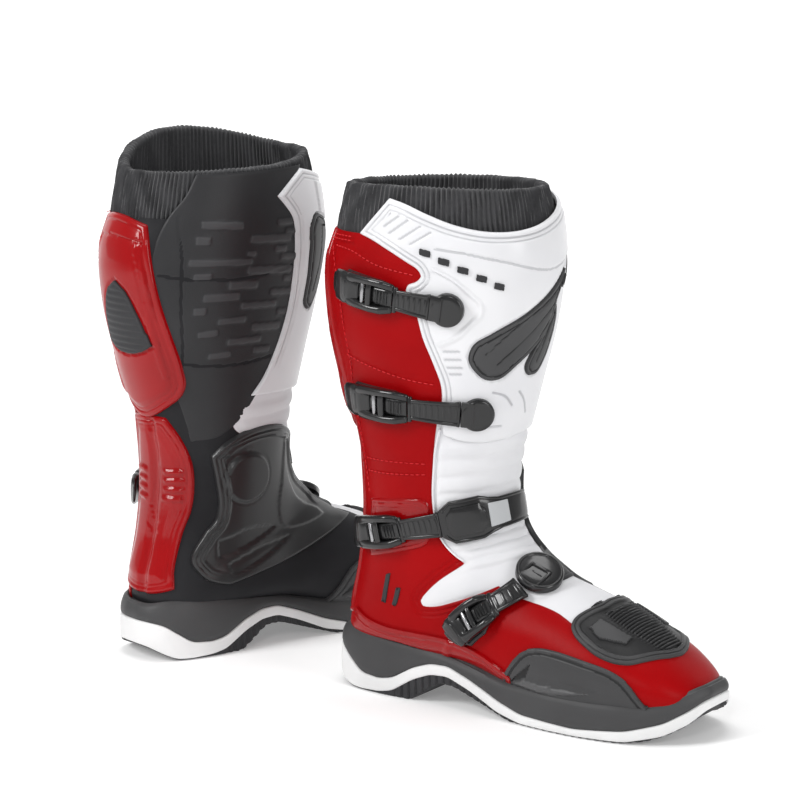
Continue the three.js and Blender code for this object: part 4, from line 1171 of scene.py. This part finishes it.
class Track:
    # the line a buckle lies along, from the middle of its anchor to the end of its lever

    def __init__(self, buckle):
        self.share = np.linspace(-0.9, 1.15, 411)
        spot = np.outer(1 - self.share, buckle["from"]) + np.outer(self.share, buckle["to"])
        step = 0.01 * (np.array(buckle["to"]) - buckle["from"])
        self.point = skin(*spot.T)
        self.normal = skinNormal(*spot.T)
        along = skin(*(spot + step).T) - skin(*(spot - step).T)
        self.along = unit(along - (along * self.normal).sum(1)[:, None] * self.normal)
        self.width = np.cross(self.normal, self.along)
        run = (self.share >= 0) & (self.share <= 1)
        line = (self.point + self.normal * hardware["base"])[run]
        self.length = np.linalg.norm(np.diff(line, axis=0), axis=1).sum()
        self.first = int(np.argmin(np.abs(self.share)))

    def place(self, at, y, z):
        # at in mm along, y across, z lift; arrays of one shape
        s = np.asarray(at, float) / self.length
        pick = lambda table: np.stack([np.interp(s, self.share, table[:, i]) for i in range(3)], -1)
        return (pick(self.point) + unit(pick(self.width)) * np.asarray(y)[..., None]
                + unit(pick(self.normal)) * np.asarray(z)[..., None])


def bar(track, sections, ring=20, square=3.4):
    # a closed bar along a track: sections of (at, y, z, half width, half height)
    table = np.array(sections, float)
    at = np.concatenate([np.linspace(a, b, max(int(abs(b - a) / 1.4), 1), endpoint=False)
                         for a, b in zip(table[:-1, 0], table[1:, 0])] + [table[-1:, 0]])
    key = np.arange(len(table))
    order = np.concatenate([np.linspace(i, i + 1, max(int(abs(b - a) / 1.4), 1), endpoint=False)
                            for i, (a, b) in enumerate(zip(table[:-1, 0], table[1:, 0]))]
                           + [[len(table) - 1]])
    y, z, wide, high = (np.interp(order, key, table[:, i]) for i in range(1, 5))
    at = np.concatenate([[at[0]], at, [at[-1]]])
    y, z, wide, high = (np.concatenate([[a[0]], a, [a[-1]]]) for a in (y, z, wide, high))
    wide[[0, -1]] = 0
    high[[0, -1]] = 0
    turn = np.linspace(0, 2 * np.pi, ring + 1)
    c, s = np.cos(turn), np.sin(turn)
    r = (np.abs(c) ** square + np.abs(s) ** square) ** (-1 / square)
    points = track.place(np.repeat(at[:, None], ring + 1, 1), y[:, None] + wide[:, None] * (c * r)[None],
                         z[:, None] + high[:, None] * (s * r)[None])
    return gridPiece("bar", points, closed=True)


def rounded(track, sections, first=1.2, last=1.2, **shape):
    # a bar whose run of sections is rounded over first and last mm at its two ends
    def tip(section, reach, way):
        along, y, z, wide, high = section
        return [(along + way * reach * t, y, z, wide - reach * (1 - math.sqrt(1 - (1 - t) ** 2)),
                 high * (0.45 + 0.55 * math.sin(math.acos(1 - t)))) for t in (0.0, 0.35, 0.7)]

    a, b = sections[0], sections[-1]
    run = [(a[0] + first, *a[1:])] + sections[1:-1] + [(b[0] - last, *b[1:])]
    return bar(track, tip(a, first, 1) + run + tip(b, last, -1)[::-1], **shape)


def roller(track, at, z, radius, half):
    # a round pin across the track
    turn = np.linspace(0, 2 * np.pi, 17)
    across = np.array([-half, -half, -half + 0.5, half - 0.5, half, half])
    size = np.array([0, 0.75, 1, 1, 0.75, 0]) * radius
    points = track.place(at + size[:, None] * np.cos(turn), np.repeat(across[:, None], 17, 1),
                         z + size[:, None] * np.sin(turn))
    return gridPiece("roller", points, closed=True)


def disc(track, profile):
    # a round button on the start of the track: (radius, lift) from its foot to its middle
    turn = np.linspace(0, 2 * np.pi, 57)
    k = track.first
    rows = [track.point[k] + track.normal[k] * lift
            + radius * (np.outer(np.cos(turn), track.along[k]) + np.outer(np.sin(turn), track.width[k]))
            for radius, lift in [(0, profile[0][1])] + profile]
    return gridPiece("disc", np.array(rows), closed=True)


def clearOfCap(track, radius):
    # how far along the track a strap starts, to stand clear of its round cap
    k, at = track.first, radius
    clear = radius + hardware["gap"]
    while (track.place(at, 0.0, hardware["base"]) - track.point[k]) @ track.along[k] < clear:
        at += 0.1
    return at


for number, buckle in enumerate(buckles, 1):
    track = Track(buckle)
    length = track.length
    base, thick = hardware["base"], hardware["thick"]
    pin = buckle["leverAt"] * length
    root = (buckle["plateEnds"][1] * length + hardware["gap"] if "plateEnds" in buckle
            else clearOfCap(track, buckle["cap"]))
    mid = base + thick / 2

    # strap: a soft bar with raised edges and ladder rungs
    half = hardware["strap"] / 2
    end = pin - 0.3
    parts = [rounded(track, [
        (root - hardware["gap"], 0, mid - 0.2, half, 1.3), (root + 5, 0, mid - 0.2, half - 1.2, 1.3),
        (end - 5, 0, mid - 0.2, half - 2.2, 1.3),
        (end, 0, mid - 0.2, half - 2.2, 1.3)], 1.0, 1.0, square=4.5)]
    for y in (-1, 1):
        parts.append(rounded(track, [
            (root + 0.6, y * (half - 2.2), mid + 0.5, 1.5, 1.2),
            (end - 0.8, y * (half - 3.6), mid + 0.6, 1.5, 1.3)], 0.8, 0.8, ring=12, square=2.6))
    rungs = max(int((end - root) / 4.2), 2)
    for i in range(rungs):
        at = root + 2.6 + i * (end - root - 5.2) / max(rungs - 1, 1)
        parts.append(bar(track, [(at - 1.0, 0, mid + 0.5, 5.6, 0.9), (at, 0, mid + 0.7, 5.6, 1.1),
                                 (at + 1.0, 0, mid + 0.5, 5.6, 0.9)],
                         ring=12, square=3))
    parts.append(roller(track, root + thick * 0.25, mid, 1.35, half - 0.8))
    fit(joined(parts, "strap"), "black_gloss", 45, f"strap_{number}", f"strap_{number}", "black_gloss",
        (f"strap_{number}",))

    # lever: side rails round an open slot, a roller on a toothed tongue, a rounded tail block
    start, tail = pin + 0.3, length
    long = tail - start
    rail = hardware["lever"] / 2
    parts = []
    for y in (-1, 1):
        parts.append(rounded(track, [
            (start, y * (rail - 5.2), base + 1.2, 2.2, 1.0),
            (start + 2.2, y * (rail - 4.6), base + 2.0, 2.6, 1.7),
            (start + 0.16 * long, y * (rail - 3.2), base + 3.6, 3.0, 3.2),
            (start + 0.30 * long, y * (rail - 2.9), base + 4.2, 2.9, 3.6),
            (start + 0.52 * long, y * (rail - 3.4), base + 4.3, 3.2, 3.5),
            (start + 0.64 * long, y * (rail - 4.4), base + 4.1, 4.0, 3.3),
            (start + 0.72 * long, y * (rail - 6.0), base + 3.8, 4.0, 3.0)], 1.4, 2.0, ring=18, square=2.7))
    parts.append(rounded(track, [
        (start + 0.50 * long, 0, base + 3.2, rail - 5.0, 2.4),
        (start + 0.62 * long, 0, base + 4.1, rail - 1.4, 3.5),
        (start + 0.74 * long, 0, base + 4.1, rail - 0.7, 3.6),
        (start + 0.88 * long, 0, base + 3.3, rail - 1.8, 2.7),
        (tail, 0, base + 2.1, rail - 5.0, 1.5)], 1.6, 3.2, ring=28, square=3.0))
    parts.append(rounded(track, [
        (start + 0.66 * long, 0, base + 7.4, 6.4, 0.55),
        (start + 0.86 * long, 0, base + 6.0, 5.0, 0.5)], 1.6, 1.6, ring=16, square=3.0))
    parts.append(rounded(track, [
        (start + 0.03 * long, 0, base + 1.6, rail - 6.2, 1.3),
        (start + 0.12 * long, 0, base + 2.4, rail - 6.4, 1.7),
        (start + 0.54 * long, 0, base + 2.4, rail - 7.0, 1.7)], 1.2, 1.2, ring=18, square=3.4))
    for i in range(4):
        at = start + long * (0.10 + 0.045 * i)
        parts.append(bar(track, [(at - 0.9, 0, base + 3.9, 4.6, 0.7), (at, 0, base + 4.4, 4.6, 0.9),
                                 (at + 0.9, 0, base + 3.9, 4.6, 0.7)],
                         ring=12))
    parts.append(rounded(track, [
        (start + 0.30 * long, 0, base + 5.6, rail - 4.6, 1.2),
        (start + 0.36 * long, 0, base + 6.2, rail - 4.6, 1.4)], 0.9, 0.9, ring=16))
    parts.append(roller(track, pin, mid, 1.75, half - 0.4))
    black = joined(parts, "lever")
    wears(black, "black_gloss", "steel")
    pins = [roller(track, start + 0.43 * long, base + 4.9, 1.7, rail - 4.4),
            roller(track, start + 0.045 * long, base + 1.5, 1.0, rail - 3.6)]
    metal = joined(pins, "pins")
    wears(metal, "steel")
    piece = smoothed(joined([black, metal], "lever"), 45)
    lay(piece, f"lever_{number}", f"lever_{number}", "black_gloss", (f"lever_{number}",))

    # receiver: the plate on the boot that the lever closes on
    stop = buckle.get("end", 0.98) * length
    half = hardware["receiver"] / 2 - (0 if number == 4 else 3.4)
    parts = [rounded(track, [
        (start + 8, 0, 2.4, half - 4, 1.4), (start + 14, 0, 2.5, half - 0.8, 1.6),
        (stop - 10, 0, 2.5, half - 0.4, 1.7),
        (stop, 0, 2.3, half - 5, 1.4)], 2.0, 2.5, ring=28, square=4.2)]
    for y in (-1, 1):
        parts.append(rounded(track, [
            (start + 15, y * (half - 2.6), 4.1, 1.6, 0.6),
            (stop - 9, y * (half - 2.4), 4.1, 1.6, 0.6)], ring=12))
    fit(joined(parts, "receiver"), "black_plastic", 45, f"receiver_{number}", buckle["rides"],
        "black_plastic", (f"receiver_{number}",))

    # anchor
    if "plateEnds" in buckle:
        a, b = (share * length for share in buckle["plateEnds"])
        parts = [rounded(track, [
            (a, 0, mid - 0.6, 8.5, 0.9), (a + 6, 0, mid - 0.4, 11.0, 1.1), (-26, 0, mid - 0.4, 11.8, 1.1),
            (-17, 0, mid - 0.3, 13.5, 1.2), (-9, 0, mid - 0.2, 16.2, 1.3),
            (b - 9, 0, mid - 0.2, 16.2, 1.3), (b - 1.4, 0, mid - 0.2, 11.0, 1.3),
            (b, 0, mid - 0.2, 10.5, 1.3)], 1.2, 0.8, ring=32, square=5)]
        for y in (-1, 1):
            parts.append(rounded(track, [
                (a + 4, y * 9.8, mid + 0.5, 1.0, 0.6), (-26, y * 10.6, mid + 0.7, 1.0, 0.7),
                (-17, y * 12.2, mid + 0.8, 1.1, 0.8), (-8, y * 14.8, mid + 0.9, 1.2, 0.8),
                (b - 9, y * 14.8, mid + 0.9, 1.2, 0.8),
                (b - 2.4, y * 9.6, mid + 0.9, 1.2, 0.8)], ring=12))
        parts.append(rounded(track, [
            (-13, 0, mid + 1.2, 6.5, 1.0), (-8, 0, mid + 1.5, 11.0, 1.3),
            (b - 10, 0, mid + 1.6, 11.2, 1.4),
            (b - 5.5, 0, mid + 1.4, 6.8, 1.1)], 1.0, 1.0, ring=24, square=4.5))
        fit(joined(parts, "anchor"), "black_gloss", 45, f"anchor_{number}", "shaft", "black_gloss",
            (f"anchor_{number}",))
        patchBar = rounded(track, [
            (-35, 0, mid + 0.75, 8.0, 0.45),
            (-15.5, 0, mid + 0.85, 9.0, 0.45)], 0.6, 0.6, ring=28, square=9)
        fit(patchBar, "grey_reflective", 45, "reflector", "shaft", "grey_reflective")
    else:
        r, foot = buckle["cap"], 4.3
        big = r > 15
        profile = [(r, foot - 1.6), (r, foot + 2.6), (r - 0.5, foot + 3.6), (r - 1.5, foot + 4.2)]
        profile += [(r - 2.4, foot + 4.1), (r - 3.0, foot + 3.7), (r - 3.8, foot + 3.9)] if big else []
        profile += [(r * 0.6, foot + 4.3), (r * 0.3, foot + 4.5), (0, foot + 4.55)]
        parts = [disc(track, profile)]
        if big:
            for y in (-1, 1):
                parts.append(rounded(track, [
                    (-1.5, y * 7.6, foot + 4.3, 1.3, 1.5),
                    (r - 3.6, y * 8.2, foot + 3.4, 1.4, 1.7)], 0.8, 0.8, ring=14, square=4))
            parts.append(rounded(track, [
                (-2.6, 0, foot + 4.4, 8.8, 1.4),
                (0.2, 0, foot + 4.4, 8.8, 1.4)], 0.8, 0.8, ring=16, square=5))
            for at in (5.0, 8.4, 11.8):
                parts.append(rounded(track, [
                    (at - 0.8, 0, foot + 4.1, 5.2, 0.9),
                    (at + 0.8, 0, foot + 4.1, 5.2, 0.9)], 0.4, 0.4, ring=12))
        else:
            parts.append(rounded(track, [
                (r * 0.28, 0, foot + 3.6, 9.4, 1.9),
                (r + 0.5, 0, foot + 2.5, 9.6, 1.7)], 0.6, 0.6, ring=20, square=7))
        fit(joined(parts, "anchor"), "black_gloss", 45, f"anchor_{number}", buckle["rides"],
            "black_gloss", (f"anchor_{number}",))
print("buckles done")

# band from the instep cap over the foot
piece = patch("instepBand", [(7.46, 10), (7.4, -8), (7.36, -26), (7.34, -44)],
              [(8.22, 8), (8.2, -8), (8.22, -26), (8.3, -44)],
              [(7.46, 10), (8.22, 8)], [(7.34, -44), (8.3, -44)],
              lambda p, v, d, e: 1.0 + 1.7 * rolled(e, 1.5) - bead(np.abs(e - 3.4), 1.8, 0.6),
              spacing=1.1)
fit(piece, "black_rubber", 50, "instep_band", "foot", "black_rubber")

# what stays from the frame
for side in sides:
    wears(frame["nodes"][side + "_insole"], "black_fabric")

# studio
studio = {"width": 16.0, "front": -6.0, "back": 4.0, "curve": 2.0, "height": 5.0, "paper": 0.86,
          "glow": 0.16, "backGlow": 0.75, "glowFrom": -0.3, "glowTo": 3.0, "world": 0.32}
sweep = np.concatenate([np.column_stack([np.linspace(studio["front"], studio["back"], 12), np.zeros(12)]),
                        [(studio["back"] + studio["curve"] * math.sin(t),
                          studio["curve"] * (1 - math.cos(t)))
                         for t in np.linspace(0.1, math.pi / 2, 14)],
                        [(studio["back"] + studio["curve"], studio["height"])]])
floorPoints = np.stack([np.stack([np.full(len(sweep), x), sweep[:, 0], sweep[:, 1]], -1)
                        for x in np.linspace(-studio["width"] / 2, studio["width"] / 2, 5)])
floor = gridPiece("floor", floorPoints)
if floor.data.polygons[0].normal.z < 0:
    floor.data.flip_normals()
smoothed(floor, 60)
paper = bpy.data.materials.new("paper")
paper.use_nodes = True
paperShader = paper.node_tree.nodes["Principled BSDF"].inputs
paperShader["Base Color"].default_value = (studio["paper"],) * 3 + (1,)
paperShader["Roughness"].default_value = 0.9
paperShader["Specular IOR Level"].default_value = 0.0
paperShader["Emission Strength"].default_value = 1.0
onFloor = node(paper.node_tree, "ShaderNodeTexCoord").outputs["Object"]
depthOf = node(paper.node_tree, "ShaderNodeSeparateXYZ", {"Vector": onFloor})
glow = node(paper.node_tree, "ShaderNodeMapRange", {"Value": depthOf.outputs["Y"],
                                                    "From Min": studio["glowFrom"],
                                                    "From Max": studio["glowTo"],
                                                    "To Min": studio["glow"],
                                                    "To Max": studio["backGlow"]})
paper.node_tree.links.new(glow.outputs["Result"], paperShader["Emission Color"])
floor.data.materials.append(paper)

world = bpy.data.worlds.new("studio")
bpy.context.scene.world = world
world.use_nodes = True
world.node_tree.nodes["Background"].inputs["Color"].default_value = (1, 1, 1, 1)
world.node_tree.nodes["Background"].inputs["Strength"].default_value = studio["world"]
bpy.context.scene.view_settings.view_transform = "Standard"


def softbox(name, at, to, size, power):
    bpy.ops.object.light_add(type="AREA", location=at)
    lamp = bpy.context.object
    lamp.name = name
    lamp.data.shape = "RECTANGLE"
    lamp.data.size, lamp.data.size_y = size
    lamp.data.energy = power
    lamp.rotation_euler = (Vector(to) - Vector(at)).to_track_quat("-Z", "Y").to_euler()


lights = {
    "keyLight": {"at": (-1.7, -0.9, 1.45), "to": (0, 0, 0.2), "size": (0.7, 0.9), "power": 30},
    "fillLight": {"at": (1.5, -1.6, 0.9), "to": (0, 0, 0.2), "size": (0.6, 1.3), "power": 15},
    "topLight": {"at": (0.0, 0.2, 2.2), "to": (0, 0, 0.1), "size": (1.4, 1.0), "power": 20},
    "frontLight": {"at": (-0.4, -2.6, 1.5), "to": (0, 0, 0.2), "size": (0.5, 0.5), "power": 12}}
for name, lamp in lights.items():
    softbox(name, **lamp)

# the camera stands at a fixed place from the right boot
view = {"fromBoot": (-0.0401, -2.132, 0.617), "pitch": 10.41, "lens": 129.6}
rightBoot = boots["right"]["origin"] / 1000
bpy.ops.object.camera_add(location=Vector(view["fromBoot"]) + Vector((rightBoot[0], rightBoot[1], 0)),
                          rotation=(math.radians(90 - view["pitch"]), 0, 0))
camera = bpy.context.object
camera.data.sensor_width = 36
camera.data.lens = view["lens"]
bpy.context.scene.camera = camera
